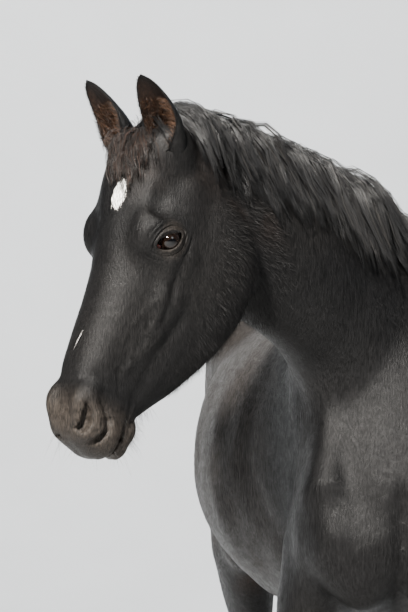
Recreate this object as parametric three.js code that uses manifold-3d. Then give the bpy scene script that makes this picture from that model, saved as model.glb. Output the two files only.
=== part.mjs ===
// A young black horse, life size, standing with its neck bent to its right.
// The flesh is one smooth distance field of named bones and muscles. Planes divide it into its
// parts, and each part is a loft through outlines found on that field. Millimetres, +Z up,
// the chest faces -Y, the animal's left is +X, and the floor is z = 0.

import * as THREE from 'three';
import { LoftGeometry } from 'three/addons/geometries/LoftGeometry.js';
import { mergeVertices } from 'three/addons/utils/BufferGeometryUtils.js';
import Module from 'manifold-3d';

// ---------------------------------------------------------------- driving sizes

const POLL = [-508, -945, 1795];        // top of the head, between the ears
const HEAD_HEADING = 55.3;              // degrees that the face looks to the animal's right
const HEAD_PITCH = 72.8;                // degrees that the face hangs below level
const HEAD_ROLL = 4.0;                  // degrees that the head tips over
const LEG_CUT = 885;                    // height where the legs part from the trunk
const CORONET = 74;                     // height of the middle of the top of the hoof
const CORONET_TILT = 30;                // degrees that the top of the hoof slopes to the heel
const EYE = [191, -71, 86];             // centre of the eyeball in the head's frame
const EYE_RADIUS = 22.5;
const EAR_LENGTH = 160;
const TAIL_TIP = 490;                   // height of the end of the tail
const GAP = 0.6;                        // clearance between neighbouring parts
// How far each hoof stands ahead of square: the shift grows from the elbow down.
const STEP = { foreLeft: 18, foreRight: -30, hindLeft: -42, hindRight: 28 };
const STEP_TOP = 840;
const STEP_RUN = 700;

const RAYS = { trunk: 28, neck: 24, head: 30, haunch: 14, leg: 12, hoof: 16 };

// Sections of the trunk: y, top, bottom, half width, height of the widest point.
const TRUNK = [
  [-752, 1130, 1005, 40, 1060],         // front of the breast
  [-715, 1240, 948, 100, 1070],
  [-640, 1410, 892, 146, 1090],
  [-520, 1512, 866, 170, 1120],         // elbows
  [-400, 1545, 850, 184, 1130],         // withers
  [-250, 1512, 838, 240, 1130],
  [-60, 1474, 831, 305, 1125],
  [140, 1470, 844, 319, 1130],          // widest ribs
  [330, 1500, 900, 272, 1170],          // flank
  [480, 1535, 975, 228, 1240],          // croup
  [640, 1502, 1060, 165, 1280],
  [745, 1410, 1140, 92, 1290],
  [790, 1320, 1215, 28, 1268],          // under the tail
];

// Sections of the limbs: height, x of the axis, front, back, half width.
const FORELEG = [
  [1010, 142, -636, -424, 44],
  [900, 152, -626, -430, 60],           // elbow
  [820, 153, -614, -452, 57],
  [740, 149, -603, -474, 50],
  [640, 146, -592, -499, 42],
  [560, 143, -588, -512, 37],
  [510, 142, -592, -514, 40],
  [468, 141, -600, -508, 44],           // knee
  [430, 140, -594, -506, 41],
  [395, 139, -585, -514, 32],
  [340, 138, -581, -516, 27],           // cannon
  [280, 137, -580, -514, 27],
  [238, 136, -584, -508, 33],
  [206, 136, -590, -502, 36],           // fetlock
  [180, 136, -594, -512, 33],
  [150, 136, -604, -538, 29],           // pastern
  [122, 136, -617, -556, 29],
  [98, 136, -632, -560, 38],            // coronet
  [40, 136, -646, -572, 41],
];
const HINDLEG = [
  [1060, 164, 350, 670, 60],
  [1000, 174, 340, 684, 72],
  [930, 178, 352, 686, 72],             // stifle
  [860, 172, 398, 680, 64],
  [790, 162, 455, 674, 54],             // gaskin
  [730, 152, 512, 688, 45],
  [680, 144, 560, 712, 39],
  [640, 138, 590, 750, 38],
  [600, 134, 612, 776, 40],             // hock
  [560, 132, 628, 764, 41],
  [520, 131, 645, 750, 36],
  [470, 130, 655, 740, 30],
  [400, 129, 660, 733, 27],             // cannon
  [300, 128, 662, 733, 27],
  [250, 128, 660, 738, 32],
  [212, 128, 654, 746, 36],             // fetlock
  [185, 128, 648, 736, 33],
  [150, 128, 632, 706, 29],             // pastern
  [122, 128, 616, 686, 29],
  [98, 128, 600, 676, 38],              // coronet
  [40, 128, 586, 664, 41],
];

// The neck's axis from inside the chest to inside the poll, then its half width and its reach
// up to the crest and down to the throat at those points.
const NECK_AXIS = [
  [0, -300, 1190],
  [-8, -420, 1280],
  [-50, -530, 1390],
  [-140, -635, 1510],
  [-265, -735, 1595],
  [-385, -830, 1655],
  [-468, -893, 1690],
];
const NECK_HALF = [196, 176, 134, 98, 84, 76, 72];
const NECK_UP = [300, 285, 250, 215, 178, 150, 125];
const NECK_DOWN = [225, 200, 160, 150, 146, 140, 130];

// Sections of the skull in the head's frame (u down the face, v out of it, w to the left):
// u, top, bottom, half width, v of the widest point, squareness above and below it.
const SKULL = [
  [-60, -70, -150, 36, -105, 2.2, 2.2],
  [0, -14, -178, 62, -95, 2.2, 2.3],    // poll
  [60, 0, -210, 78, -105, 2.3, 2.8],
  [120, 6, -256, 86, -118, 2.4, 3.2],   // forehead
  [170, 7, -292, 88, -120, 2.4, 3.4],   // angle of the jaw
  [215, 2, -302, 86, -118, 2.5, 3.4],
  [262, -3, -302, 80, -110, 2.5, 3.3],
  [315, -1, -285, 72, -98, 2.6, 3.1],
  [360, 3, -260, 65, -78, 2.7, 2.8],    // bridge of the nose
  [400, 6, -232, 60, -62, 2.8, 2.5],
  [440, 8, -200, 56, -52, 2.9, 2.2],
  [480, 5, -162, 50, -50, 2.9, 2.0],
  [510, 1, -136, 50, -54, 2.8, 2.1],    // nostrils
  [540, -10, -130, 49, -60, 2.5, 2.2],
  [564, -28, -118, 40, -68, 2.3, 2.2],
  [582, -54, -100, 20, -76, 2.2, 2.2],  // lips
];

// ---------------------------------------------------------------- small vector kit

const add = (a, b) => [a[0] + b[0], a[1] + b[1], a[2] + b[2]];
const sub = (a, b) => [a[0] - b[0], a[1] - b[1], a[2] - b[2]];
const scale = (a, s) => [a[0] * s, a[1] * s, a[2] * s];
const dot = (a, b) => a[0] * b[0] + a[1] * b[1] + a[2] * b[2];
const cross = (a, b) => [
  a[1] * b[2] - a[2] * b[1],
  a[2] * b[0] - a[0] * b[2],
  a[0] * b[1] - a[1] * b[0],
];
const length = (a) => Math.sqrt(dot(a, a));
const unit = (a) => scale(a, 1 / length(a));
const mix = (a, b, t) => add(scale(a, 1 - t), scale(b, t));
const radians = (degrees) => (degrees * Math.PI) / 180;
const clamp = (x, low, high) => Math.min(Math.max(x, low), high);

function smoothStep(t) {
  const c = clamp(t, 0, 1);
  return c * c * (3 - 2 * c);
}

// A smooth curve through values at rising keys that never overshoots them.
function curve(keys, values) {
  const last = keys.length - 1;
  const run = (j) => keys[j + 1] - keys[j];
  const slope = (j) => (values[j + 1] - values[j]) / run(j);
  const tangents = values.map((_, j) => {
    if (j === 0) return slope(0);
    if (j === last) return slope(last - 1);
    const before = slope(j - 1);
    const after = slope(j);
    return before * after <= 0 ? 0 : (2 * before * after) / (before + after);
  });
  return (x) => {
    const at = clamp(x, keys[0], keys[last]);
    let j = 0;
    while (j < last - 1 && at > keys[j + 1]) j += 1;
    const t = (at - keys[j]) / run(j);
    const s = 1 - t;
    return (1 + 2 * t) * s * s * values[j]
      + t * s * s * run(j) * tangents[j]
      + t * t * (3 - 2 * t) * values[j + 1]
      - t * t * s * run(j) * tangents[j + 1];
  };
}

// The columns of a table of sections as curves over its first column.
function curves(table) {
  const rows = [...table].sort((a, b) => a[0] - b[0]);
  const keys = rows.map((row) => row[0]);
  return rows[0].slice(1).map((_, j) => curve(keys, rows.map((row) => row[j + 1])));
}

// ---------------------------------------------------------------- the field's shapes

// Smooth union of two distances, rounded over the width k.
function union(a, b, k) {
  const h = Math.max(k - Math.abs(a - b), 0) / k;
  return Math.min(a, b) - (h * h * k) / 4;
}

// Distance of (x, z) from an egg: half width, top, bottom, height of the widest point.
function egg(x, z, half, top, bottom, wide, above, below) {
  const dz = z - wide;
  const tall = dz > 0 ? top - wide : wide - bottom;
  const power = dz > 0 ? above : below;
  const n = ((Math.abs(x) / half) ** power + (Math.abs(dz) / tall) ** power) ** (1 / power);
  return Math.hypot(x, dz, 0.001) * (1 - 1 / Math.max(n, 1e-4));
}

const CAP_ROUND = 24;                   // how wide the edge of a cut end is rounded

// The distance of a shape that ends where past turns positive, with a round edge there.
function capped(distance, past) {
  const h = Math.max(CAP_ROUND - Math.abs(distance - past), 0);
  return Math.max(distance, past) + (h * h) / (4 * CAP_ROUND);
}

const pastEnds = (x, low, high) => Math.max(low - x, x - high);

const REACH = 90;                       // a shape is felt this far outside its own bounds

// An ellipsoid with half sizes r, turned about the x axis by tilt degrees.
function ball(c, r, k, { tilt = 0, cut = false } = {}) {
  const cos = Math.cos(radians(tilt));
  const sin = Math.sin(radians(tilt));
  const far = (Math.max(...r) + REACH + k) ** 2;
  return {
    k,
    cut,
    distance(p) {
      const q = sub(p, c);
      if (dot(q, q) > far) return Infinity;
      const x = q[0];
      const y = q[1] * cos + q[2] * sin;
      const z = q[2] * cos - q[1] * sin;
      const k0 = Math.hypot(x / r[0], y / r[1], z / r[2]);
      const k1 = Math.hypot(x / r[0] ** 2, y / r[1] ** 2, z / r[2] ** 2);
      return (k0 * (k0 - 1)) / (k1 + 1e-9);
    },
  };
}

// A tapered bar from a to b. Its half sizes at each end are [along side, across side].
function bar(a, b, ra, rb, k, { side = [1, 0, 0], cut = false } = {}) {
  const span = length(sub(b, a));
  const axis = unit(sub(b, a));
  const first = unit(sub(side, scale(axis, dot(side, axis))));
  const second = cross(axis, first);
  const middle = mix(a, b, 0.5);
  const far = (span / 2 + Math.max(...ra, ...rb) + REACH + k) ** 2;
  return {
    k,
    cut,
    distance(p) {
      const m = sub(p, middle);
      if (dot(m, m) > far) return Infinity;
      const q = sub(p, a);
      const t = dot(q, axis);
      const on = clamp(t / span, 0, 1);
      const w = ra[0] + (rb[0] - ra[0]) * on;
      const h = ra[1] + (rb[1] - ra[1]) * on;
      const e = Math.min(w, h);
      const x = dot(q, first);
      const y = dot(q, second);
      const z = t - on * span;
      const k0 = Math.hypot(x / w, y / h, z / e);
      const k1 = Math.hypot(x / w ** 2, y / h ** 2, z / e ** 2);
      return (k0 * (k0 - 1)) / (k1 + 1e-9);
    },
  };
}

// Bars joined end to end through points, each with its own half sizes.
function chain(points, sizes, k, options) {
  const link = (_, j) => bar(points[j], points[j + 1], sizes[j], sizes[j + 1], k, options);
  return points.slice(1).map(link);
}

// Adds shapes to a distance, or cuts them from it.
function apply(shapes, p, start) {
  let d = start;
  for (const shape of shapes) {
    const e = shape.distance(p);
    if (e === Infinity) continue;
    d = shape.cut ? -union(-d, e, shape.k) : union(d, e, shape.k);
  }
  return d;
}

// ---------------------------------------------------------------- trunk and its muscles

function trunkShape() {
  const [top, bottom, half, wide] = curves(TRUNK);
  const [front, back] = [TRUNK[0][0], TRUNK[TRUNK.length - 1][0]];
  return {
    k: 30,
    distance([x, y, z]) {
      const d = egg(x, z, half(y), top(y), bottom(y), wide(y), 2.15, 2.15);
      return capped(d, pastEnds(y, front, back));
    },
  };
}

// The left half's muscles; the field mirrors them.
const MUSCLES = [
  bar([82, -440, 1465], [132, -645, 1110], [42, 105], [50, 100], 45),   // shoulder blade
  ball([122, -664, 1050], [56, 82, 90], 50),                            // point of the shoulder
  ball([134, -530, 1005], [58, 140, 120], 50, { tilt: -20 }),           // back of the upper arm
  ball([70, -694, 1000], [74, 62, 96], 40),                             // breast
  ball([36, -420, 1496], [42, 150, 50], 60),                            // withers
  ball([112, 430, 1340], [142, 240, 162], 70, { tilt: -8 }),            // croup
  ball([214, 335, 1384], [38, 72, 50], 70),                             // point of the hip
  ball([145, 550, 1200], [118, 205, 250], 60, { tilt: 12 }),            // thigh
  ball([165, 450, 1050], [92, 165, 180], 60, { tilt: 20 }),
  ball([92, 680, 1215], [84, 108, 210], 50, { tilt: 4 }),               // buttock
  ball([196, 350, 960], [46, 62, 75], 40),                              // stifle
];

// ---------------------------------------------------------------- legs

// An upright limb through the rows of a table.
function column(table, k) {
  const [axis, front, back, half] = curves(table);
  const heights = table.map((row) => row[0]);
  const [low, high] = [Math.min(...heights), Math.max(...heights)];
  const [near, far] = [Math.min(...table.map((r) => r[2])), Math.max(...table.map((r) => r[3]))];
  return {
    k,
    distance([x, y, z]) {
      if (z > high + REACH + k || y < near - 200 || y > far + 200) return Infinity;
      const d = egg(x - axis(z), y, half(z), back(z), front(z), (back(z) + front(z)) / 2, 2.15, 2.15);
      return capped(d, pastEnds(z, low, high));
    },
  };
}

const LEGS = [
  column(FORELEG, 45),
  ball([140, -512, 452], [24, 20, 28], 16),                             // back of the knee
  ball([136, -512, 198], [26, 18, 24], 14),                             // back of the fetlock
  column(HINDLEG, 50),
  bar([156, 640, 880], [134, 752, 660], [22, 26], [14, 16], 30),        // tendon of the hock
  ball([132, 762, 632], [18, 24, 34], 20),                              // point of the hock
  ball([128, 736, 200], [26, 18, 24], 14),
];

function stepOf(x, y) {
  if (y < 0) return x > 0 ? STEP.foreLeft : STEP.foreRight;
  return x > 0 ? STEP.hindLeft : STEP.hindRight;
}

// How far forward the point of a leg at height z has moved with its hoof.
const stepAt = (x, y, z) => stepOf(x, y) * smoothStep((STEP_TOP - z) / STEP_RUN);

// A point of the standing leg as a point of the square left leg.
const squared = ([x, y, z]) => [Math.abs(x), y + stepAt(x, y, z), z];

// ---------------------------------------------------------------- neck

function neckShape() {
  const steps = NECK_AXIS.map((_, j) => j / (NECK_AXIS.length - 1));
  const axis = [0, 1, 2].map((j) => curve(steps, NECK_AXIS.map((point) => point[j])));
  const pointAt = (t) => axis.map((coordinate) => coordinate(t));
  const [half, up, down] = [NECK_HALF, NECK_UP, NECK_DOWN].map((row) => curve(steps, row));
  const count = 60;
  const knots = [];
  for (let j = 0; j < count; j += 1) {
    const t = j / (count - 1);
    const ahead = pointAt(Math.min(t + 0.5 / count, 1));
    const behind = pointAt(Math.max(t - 0.5 / count, 0));
    const tangent = unit(sub(ahead, behind));
    const right = unit(cross(tangent, [0, 0, 1]));
    knots.push({ t, point: pointAt(t), tangent, right, up: cross(right, tangent) });
  }
  return {
    k: 70,
    distance(p) {
      if (p[0] < -850 || p[0] > 420 || p[1] > -80 || p[2] < 800) return Infinity;
      let best = Infinity;
      let link = 0;
      let part = 0;
      for (let j = 0; j < count - 1; j += 1) {
        const a = knots[j];
        const b = knots[j + 1];
        const before = dot(sub(p, a.point), a.tangent);
        const after = dot(sub(p, b.point), b.tangent);
        const t = clamp(before / (before - after || 1e-6), 0, 1);
        const off = sub(p, mix(a.point, b.point, t));
        const square = dot(off, off);
        if (square < best) [best, link, part] = [square, j, t];
      }
      const a = knots[link];
      const b = knots[link + 1];
      const t = a.t + (b.t - a.t) * part;
      const off = sub(p, pointAt(t));
      const across = dot(off, mix(a.right, b.right, part));
      const height = dot(off, mix(a.up, b.up, part));
      // The section is a pear that narrows towards the crest.
      const rise = smoothStep(height / up(t)) * smoothStep(t * 3);
      const width = half(t) * (1 - 0.34 * rise);
      const [first, last] = [knots[0], knots[count - 1]];
      const before = dot(sub(first.point, p), first.tangent);
      const beyond = dot(sub(p, last.point), last.tangent);
      const d = egg(across, height, width, up(t), -down(t), 0, 2.1, 2.1);
      return capped(d, Math.max(before, beyond));
    },
  };
}

// ---------------------------------------------------------------- head

function headFrame() {
  const heading = radians(HEAD_HEADING);
  const pitch = radians(HEAD_PITCH);
  const roll = radians(HEAD_ROLL);
  const ahead = [-Math.sin(heading), -Math.cos(heading), 0];
  const up = [0, 0, 1];
  const u = sub(scale(ahead, Math.cos(pitch)), scale(up, Math.sin(pitch)));
  const face = add(scale(ahead, Math.sin(pitch)), scale(up, Math.cos(pitch)));
  const left = cross(face, u);
  const v = sub(scale(face, Math.cos(roll)), scale(left, Math.sin(roll)));
  const w = add(scale(left, Math.cos(roll)), scale(face, Math.sin(roll)));
  return { u, v, w };
}

const HEAD = headFrame();
const headDirection = ([u, v, w]) => add(add(scale(HEAD.u, u), scale(HEAD.v, v)), scale(HEAD.w, w));
const headPoint = (q) => add(POLL, headDirection(q));

function toHead(p) {
  const q = sub(p, POLL);
  return [dot(q, HEAD.u), dot(q, HEAD.v), dot(q, HEAD.w)];
}

function skullShape() {
  const [top, bottom, half, wide, above, below] = curves(SKULL);
  const [back, front] = [SKULL[0][0], SKULL[SKULL.length - 1][0]];
  return {
    k: 24,
    distance([u, v, w]) {
      const d = egg(w, v, half(u), top(u), bottom(u), wide(u), above(u), below(u));
      return capped(d, pastEnds(u, back, front));
    },
  };
}

// Bones and muscles of the head's left half, in its frame.
const ACROSS = { side: [0, 0, 1] };
const FACE = [
  ball([188, -190, 50], [106, 92, 36], 30),                             // cheek
  ball([180, -36, 80], [46, 30, 28], 34),                               // brow
  ball([194, -72, 76], [36, 32, 22], 24),                               // flesh round the eye
  bar([214, -98, 70], [92, -96, 70], [12, 20], [10, 16], 44, ACROSS),   // arch of the cheek bone
  ...chain([[214, -112, 72], [290, -112, 63], [390, -96, 42]],          // crest below the eye
    [[8, 14], [8, 13], [6, 10]], 36, ACROSS),
  ball([86, -34, 36], [66, 31, 38], 40),                                // temple
  ball([30, -50, 62], [42, 42, 30], 30),                                // root of the ear
  ball([500, -14, 40], [34, 26, 20], 18),                               // wing of the nostril
  ball([526, -34, 40], [36, 30, 18], 14),
  ball([540, -58, 12], [40, 48, 40], 24),                               // muzzle
  ball([562, -78, 14], [22, 30, 28], 16),                               // upper lip
  ball([546, -122, 6], [32, 19, 25], 12),                               // lower lip
  ball([522, -134, 6], [24, 15, 23], 12),                               // chin
  ball([340, -322, 0], [118, 48, 22], 20, { cut: true }),               // space between the jaws
  ball([132, -34, 94], [26, 17, 12], 18, { cut: true }),                // hollow above the eye
  bar([494, -108, 56], [584, -102, 6], [3, 3], [3, 3], 8, { cut: true }), // mouth
  ball([524, -32, 62], [26, 12, 16], 8, { cut: true }),                 // nostril
];

// ---------------------------------------------------------------- the whole animal

const TRUNK_SHAPE = trunkShape();
const NECK_SHAPE = neckShape();
const SKULL_SHAPE = skullShape();
const mirrored = ([x, y, z]) => [Math.abs(x), y, z];
const OUTSIDE = 400;

const torso = (p) => apply(MUSCLES, mirrored(p), apply([TRUNK_SHAPE], p, OUTSIDE));
const withNeck = (p) => apply([NECK_SHAPE], p, torso(p));
const limbs = (p) => apply(LEGS, squared(p), apply(MUSCLES, mirrored(p), OUTSIDE));

function forehand(p) {
  const d = withNeck(p);
  const q = toHead(p);
  if (q[0] < -200 || q[0] > 760 || q[1] < -460 || q[1] > 160 || Math.abs(q[2]) > 260) return d;
  return apply(FACE, [q[0], q[1], Math.abs(q[2])], apply([SKULL_SHAPE], q, d));
}

// ---------------------------------------------------------------- outlines and lofts

// Where a ray from inside the field first leaves it.
function exit(field, from, direction) {
  let inner = 0;
  let outer = 0;
  let d = field(from);
  while (d < 0) {
    inner = outer;
    outer += clamp(-d * 0.8, 1.5, 30);
    d = field(add(from, scale(direction, outer)));
  }
  for (let step = 0; step < 14; step += 1) {
    const middle = (inner + outer) / 2;
    if (field(add(from, scale(direction, middle))) < 0) inner = middle;
    else outer = middle;
  }
  return outer;
}

// A station is a cutting plane: a centre and two directions in it. Its reaches are how far the
// field's outline lies from the centre, ray by ray, from up towards side.
function rayOf(station, j, count) {
  const angle = (2 * Math.PI * j) / count;
  return add(scale(station.up, Math.cos(angle)), scale(station.side, Math.sin(angle)));
}

function reaches(field, station, count) {
  const all = [];
  for (let j = 0; j < count; j += 1) all.push(exit(field, station.centre, rayOf(station, j, count)));
  return all;
}

const outline = (station, radii) => radii.map(
  (reach, j) => add(station.centre, scale(rayOf(station, j, radii.length), reach)),
);

const vectors = (points) => points.map((point) => new THREE.Vector3(...point));

// A closed solid through outlines that turn from up to side about the way they advance.
function loft(outlines) {
  const sections = outlines.map(vectors);
  return new LoftGeometry(sections, { closed: true, capStart: true, capEnd: true });
}

const loftField = (field, stations, count) => loft(
  stations.map((station) => outline(station, reaches(field, station, count))),
);

// ---------------------------------------------------------------- manifold-3d

const wasm = await Module();
wasm.setup();

function solidOf(geometry) {
  const bare = new THREE.BufferGeometry();
  bare.setAttribute('position', geometry.attributes.position);
  bare.setIndex(geometry.index);
  const merged = mergeVertices(bare, 1e-3);
  return new wasm.Manifold(new wasm.Mesh({
    numProp: 3,
    vertProperties: new Float32Array(merged.attributes.position.array),
    triVerts: new Uint32Array(merged.index.array),
  }));
}

function geometryOf(solid) {
  const mesh = solid.getMesh();
  const geometry = new THREE.BufferGeometry();
  geometry.setAttribute('position', new THREE.BufferAttribute(new Float32Array(mesh.vertProperties), 3));
  geometry.setIndex(new THREE.BufferAttribute(new Uint32Array(mesh.triVerts), 1));
  geometry.computeVertexNormals();
  return geometry;
}

// A box between two corners as a solid.
function block(low, high) {
  const size = sub(high, low);
  return wasm.Manifold.cube(size).translate(low);
}

// ---------------------------------------------------------------- trunk

// The cut under the neck runs from before the withers to the breast; the trunk's planes fan
// forward to it about a line above the withers.
const FAN_PIVOT = [-274, 1740];
const NECK_CUT_TILT = 38.6;
const NECK_CUT_CENTRE = 500;
const UPRIGHT_CENTRE = 600;             // how far under that line the upright planes turn
const FAN_PLANES = 9;
const TRUNK_PLANES = 17;
const TRUNK_END = 786;

function fanStation(turn, back) {
  const angle = radians(NECK_CUT_TILT * turn);
  const up = [0, Math.sin(angle), Math.cos(angle)];
  const ahead = [0, -Math.cos(angle), Math.sin(angle)];
  const pivot = [0, FAN_PIVOT[0], FAN_PIVOT[1]];
  const reach = UPRIGHT_CENTRE + (NECK_CUT_CENTRE - UPRIGHT_CENTRE) * turn;
  return {
    centre: sub(sub(pivot, scale(up, reach)), scale(ahead, back)),
    up,
    side: [1, 0, 0],
    ahead,
  };
}

function trunkStations() {
  const stations = [];
  for (let j = FAN_PLANES; j > 0; j -= 1) stations.push(fanStation(j / FAN_PLANES, GAP / 2));
  const middle = curve([FAN_PIVOT[0], 200, TRUNK_END], [1140, 1160, 1268]);
  for (let j = 0; j < TRUNK_PLANES; j += 1) {
    const y = FAN_PIVOT[0] + (TRUNK_END - FAN_PIVOT[0]) * (j / (TRUNK_PLANES - 1)) ** 0.9;
    stations.push({ centre: [0, y, middle(y)], up: [0, 0, 1], side: [1, 0, 0] });
  }
  return stations;
}

// The axis of a leg at height z, moved with its hoof.
function legCentre(side, fore, z) {
  const [axis, front, back] = curves(fore ? FORELEG : HINDLEG);
  const y = (front(z) + back(z)) / 2;
  return [side * axis(z), y - stepAt(side, y, z), z];
}

// Walls that keep a leg's outline off the chest and the belly.
const CHEST_WALL = 78;
const FLANK_WALL = 331;

function legField(fore) {
  return (p) => {
    const d = limbs(p);
    return fore ? Math.max(d, CHEST_WALL + GAP - Math.abs(p[0])) : Math.max(d, FLANK_WALL + GAP - p[1]);
  };
}

// The top of a leg, which is part of the trunk and narrows inside it.
function haunch(side, fore) {
  const rise = fore ? 130 : 190;
  const planes = 5;
  const outlines = [];
  for (let j = 0; j < planes; j += 1) {
    const t = j / (planes - 1);
    const centre = legCentre(side, fore, LEG_CUT + GAP / 2 + rise * t);
    const station = { centre, up: [0, -1, 0], side: [1, 0, 0] };
    const radii = reaches(limbs, station, RAYS.haunch);
    outlines.push(outline(station, radii.map((reach) => reach * (1 - 0.45 * t * t))));
  }
  return loft(outlines);
}

function trunkGeometry() {
  let solid = solidOf(loftField(withNeck, trunkStations(), RAYS.trunk));
  for (const side of [1, -1]) {
    for (const fore of [true, false]) {
      const [near, far] = fore ? [-760, -360] : [FLANK_WALL, 800];
      const [inner, outer] = fore ? [CHEST_WALL, 400] : [20, 400];
      const low = [Math.min(side * inner, side * outer), near, 700];
      const high = [Math.max(side * inner, side * outer), far, LEG_CUT + GAP / 2];
      solid = solid.subtract(block(low, high)).add(solidOf(haunch(side, fore)));
    }
  }
  return geometryOf(solid);
}

// ---------------------------------------------------------------- neck and head stations

// The cut behind the head, in its frame: it runs from the crest behind the poll to the throat,
// and the head's planes fan forward from it about a line below the jaw.
const JAW_PIVOT = [300, -345, 0];
const HEAD_CUT_TILT = 57.5;
const HEAD_FAN_PLANES = 15;
const HEAD_PLANES = 17;
const HEAD_END = 581;

function headFanStation(turn, forward) {
  const angle = radians(HEAD_CUT_TILT * turn);
  const up = [-Math.sin(angle), Math.cos(angle), 0];
  const ahead = [Math.cos(angle), Math.sin(angle), 0];
  const reach = 195 + 65 * turn;
  const centre = add(add(JAW_PIVOT, scale(up, reach)), scale(ahead, forward));
  return {
    centre: headPoint(centre),
    up: headDirection(up),
    side: headDirection([0, 0, -1]),
    ahead: headDirection(ahead),
  };
}

function headStations() {
  const stations = [];
  for (let j = HEAD_FAN_PLANES; j > 0; j -= 1) {
    stations.push(headFanStation(j / HEAD_FAN_PLANES, j === HEAD_FAN_PLANES ? GAP / 2 : 0));
  }
  const middle = curve([JAW_PIVOT[0], 420, 500, HEAD_END], [-150, -95, -78, -78]);
  for (let j = 0; j < HEAD_PLANES; j += 1) {
    const u = JAW_PIVOT[0] + (HEAD_END - JAW_PIVOT[0]) * (j / (HEAD_PLANES - 1)) ** 0.85;
    stations.push({
      centre: headPoint([u, middle(u), 0]),
      up: HEAD.v,
      side: scale(HEAD.w, -1),
    });
  }
  return stations;
}

const NECK_PLANES = 13;

// Planes that turn steadily from the cut before the withers to the cut behind the head.
function neckStations() {
  const first = fanStation(1, -GAP / 2);
  const last = headFanStation(1, -GAP / 2);
  const way = [first.centre, [-70, -640, 1480], [-190, -715, 1560], last.centre];
  const normals = [first.ahead, [-0.66, -0.62, 0.43], last.ahead];
  const stations = [];
  for (let j = 0; j < NECK_PLANES; j += 1) {
    const t = j / (NECK_PLANES - 1);
    const s = 1 - t;
    const centre = way
      .map((point, k) => scale(point, [s ** 3, 3 * s * s * t, 3 * s * t * t, t ** 3][k]))
      .reduce(add);
    const normal = unit(normals
      .map((direction, k) => scale(direction, [s * s, 2 * s * t, t * t][k]))
      .reduce(add));
    const lean = mix(first.up, last.up, t);
    const up = unit(sub(lean, scale(normal, dot(lean, normal))));
    stations.push({ centre, up, side: cross(normal, up) });
  }
  return stations;
}

const NECK_STATIONS = neckStations();
const NECK_REACHES = NECK_STATIONS.map((station) => reaches(forehand, station, RAYS.neck));
const HEAD_STATIONS = headStations();
const HEAD_REACHES = HEAD_STATIONS.map((station) => reaches(forehand, station, RAYS.head));

// A loft through outlines at the given reaches, grown by some clearance all over.
function grown(stations, radii, clearance) {
  const last = stations.length - 1;
  return loft(stations.map((station, j) => {
    const push = clearance * ((j === last) - (j === 0));
    const centre = add(station.centre, scale(cross(station.up, station.side), push));
    return outline({ ...station, centre }, radii[j].map((reach) => reach + 2 * clearance));
  }));
}

const neckGeometry = () => grown(NECK_STATIONS, NECK_REACHES, 0);

// ---------------------------------------------------------------- head, eyes and ears

const eyeCentre = (side) => headPoint([EYE[0], EYE[1], side * EYE[2]]);

function headGeometry() {
  let solid = solidOf(grown(HEAD_STATIONS, HEAD_REACHES, 0));
  for (const side of [1, -1]) {
    const socket = wasm.Manifold.sphere(EYE_RADIUS + 0.7, 24).translate(eyeCentre(side));
    solid = solid.subtract(socket);
  }
  return geometryOf(solid);
}

const EAR_ROOT = [36, -52, 66];
const EAR_AXIS = [-0.70, 0.69, 0.17];
// The way each cup looks: the right ear is turned more to the front than the left.
const EAR_OPENING = { 1: [0.72, 0.62, 0.26], [-1]: [0.74, 0.64, -0.06] };
const EAR_PLANES = 9;
const EAR_POINTS = 9;
const EAR_STEPS = [0, 0.2, 0.4, 0.6, 0.8, 0.93, 1];
const earHalf = curve(EAR_STEPS, [27, 36, 39, 36, 27, 15, 3]);       // half width of the cup
const earDepth = curve(EAR_STEPS, [26, 29, 27, 21, 14, 8, 2.5]);     // from its axis to its back
const earWrap = curve(EAR_STEPS, [165, 140, 108, 92, 86, 84, 80]);   // degrees from back to edge
const earWall = curve(EAR_STEPS, [6, 5.5, 5, 4.5, 4, 3.5, 1.6]);

// The ear is a cup with thin walls that opens forwards and closes to a tube at its root.
function earGeometry(side, headSolid) {
  const flip = ([u, v, w]) => headDirection([u, v, side * w]);
  const axis = unit(flip(EAR_AXIS));
  const face = flip(EAR_OPENING[side]);
  const opening = unit(sub(face, scale(axis, dot(face, axis))));
  const across = cross(axis, opening);
  const root = headPoint([EAR_ROOT[0], EAR_ROOT[1], side * EAR_ROOT[2]]);
  const inwards = scale(HEAD.w, -side);
  const outlines = [];
  for (let j = 0; j < EAR_PLANES; j += 1) {
    const t = j / (EAR_PLANES - 1);
    const curl = add(scale(opening, 10 * t * t), scale(inwards, 9 * t ** 3));
    const centre = add(add(root, scale(axis, EAR_LENGTH * t)), curl);
    const wall = (offset, k) => {
      const angle = radians(earWrap(t)) * ((2 * k) / (EAR_POINTS - 1) - 1);
      const back = -Math.cos(angle) * (earDepth(t) - offset);
      const out = Math.sin(angle) * (earHalf(t) - offset);
      return add(add(centre, scale(opening, back)), scale(across, out));
    };
    const ring = [];
    for (let k = EAR_POINTS - 1; k >= 0; k -= 1) ring.push(wall(0, k));
    for (let k = 0; k < EAR_POINTS; k += 1) ring.push(wall(earWall(t), k));
    outlines.push(ring);
  }
  return geometryOf(solidOf(loft(outlines)).subtract(headSolid));
}

// ---------------------------------------------------------------- legs and hooves

// Planes of a leg, level above the pastern and sloping with the top of the hoof below it.
function legStation(side, fore, z, drop = 0) {
  const angle = radians(CORONET_TILT * (1 - smoothStep((z - CORONET) / 90)));
  const up = [0, -Math.cos(angle), Math.sin(angle)];
  const normal = [0, Math.sin(angle), Math.cos(angle)];
  return { centre: sub(legCentre(side, fore, z), scale(normal, drop)), up, side: [1, 0, 0] };
}

function legGeometry(side, fore) {
  const rows = (fore ? FORELEG : HINDLEG).map((row) => row[0]);
  const heights = rows.filter((z) => z > CORONET + 20 && z < LEG_CUT - 15);
  const all = [LEG_CUT - GAP / 2, ...heights, CORONET].sort((a, b) => a - b);
  return loftField(legField(fore), all.map((z) => legStation(side, fore, z)), RAYS.leg);
}

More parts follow.
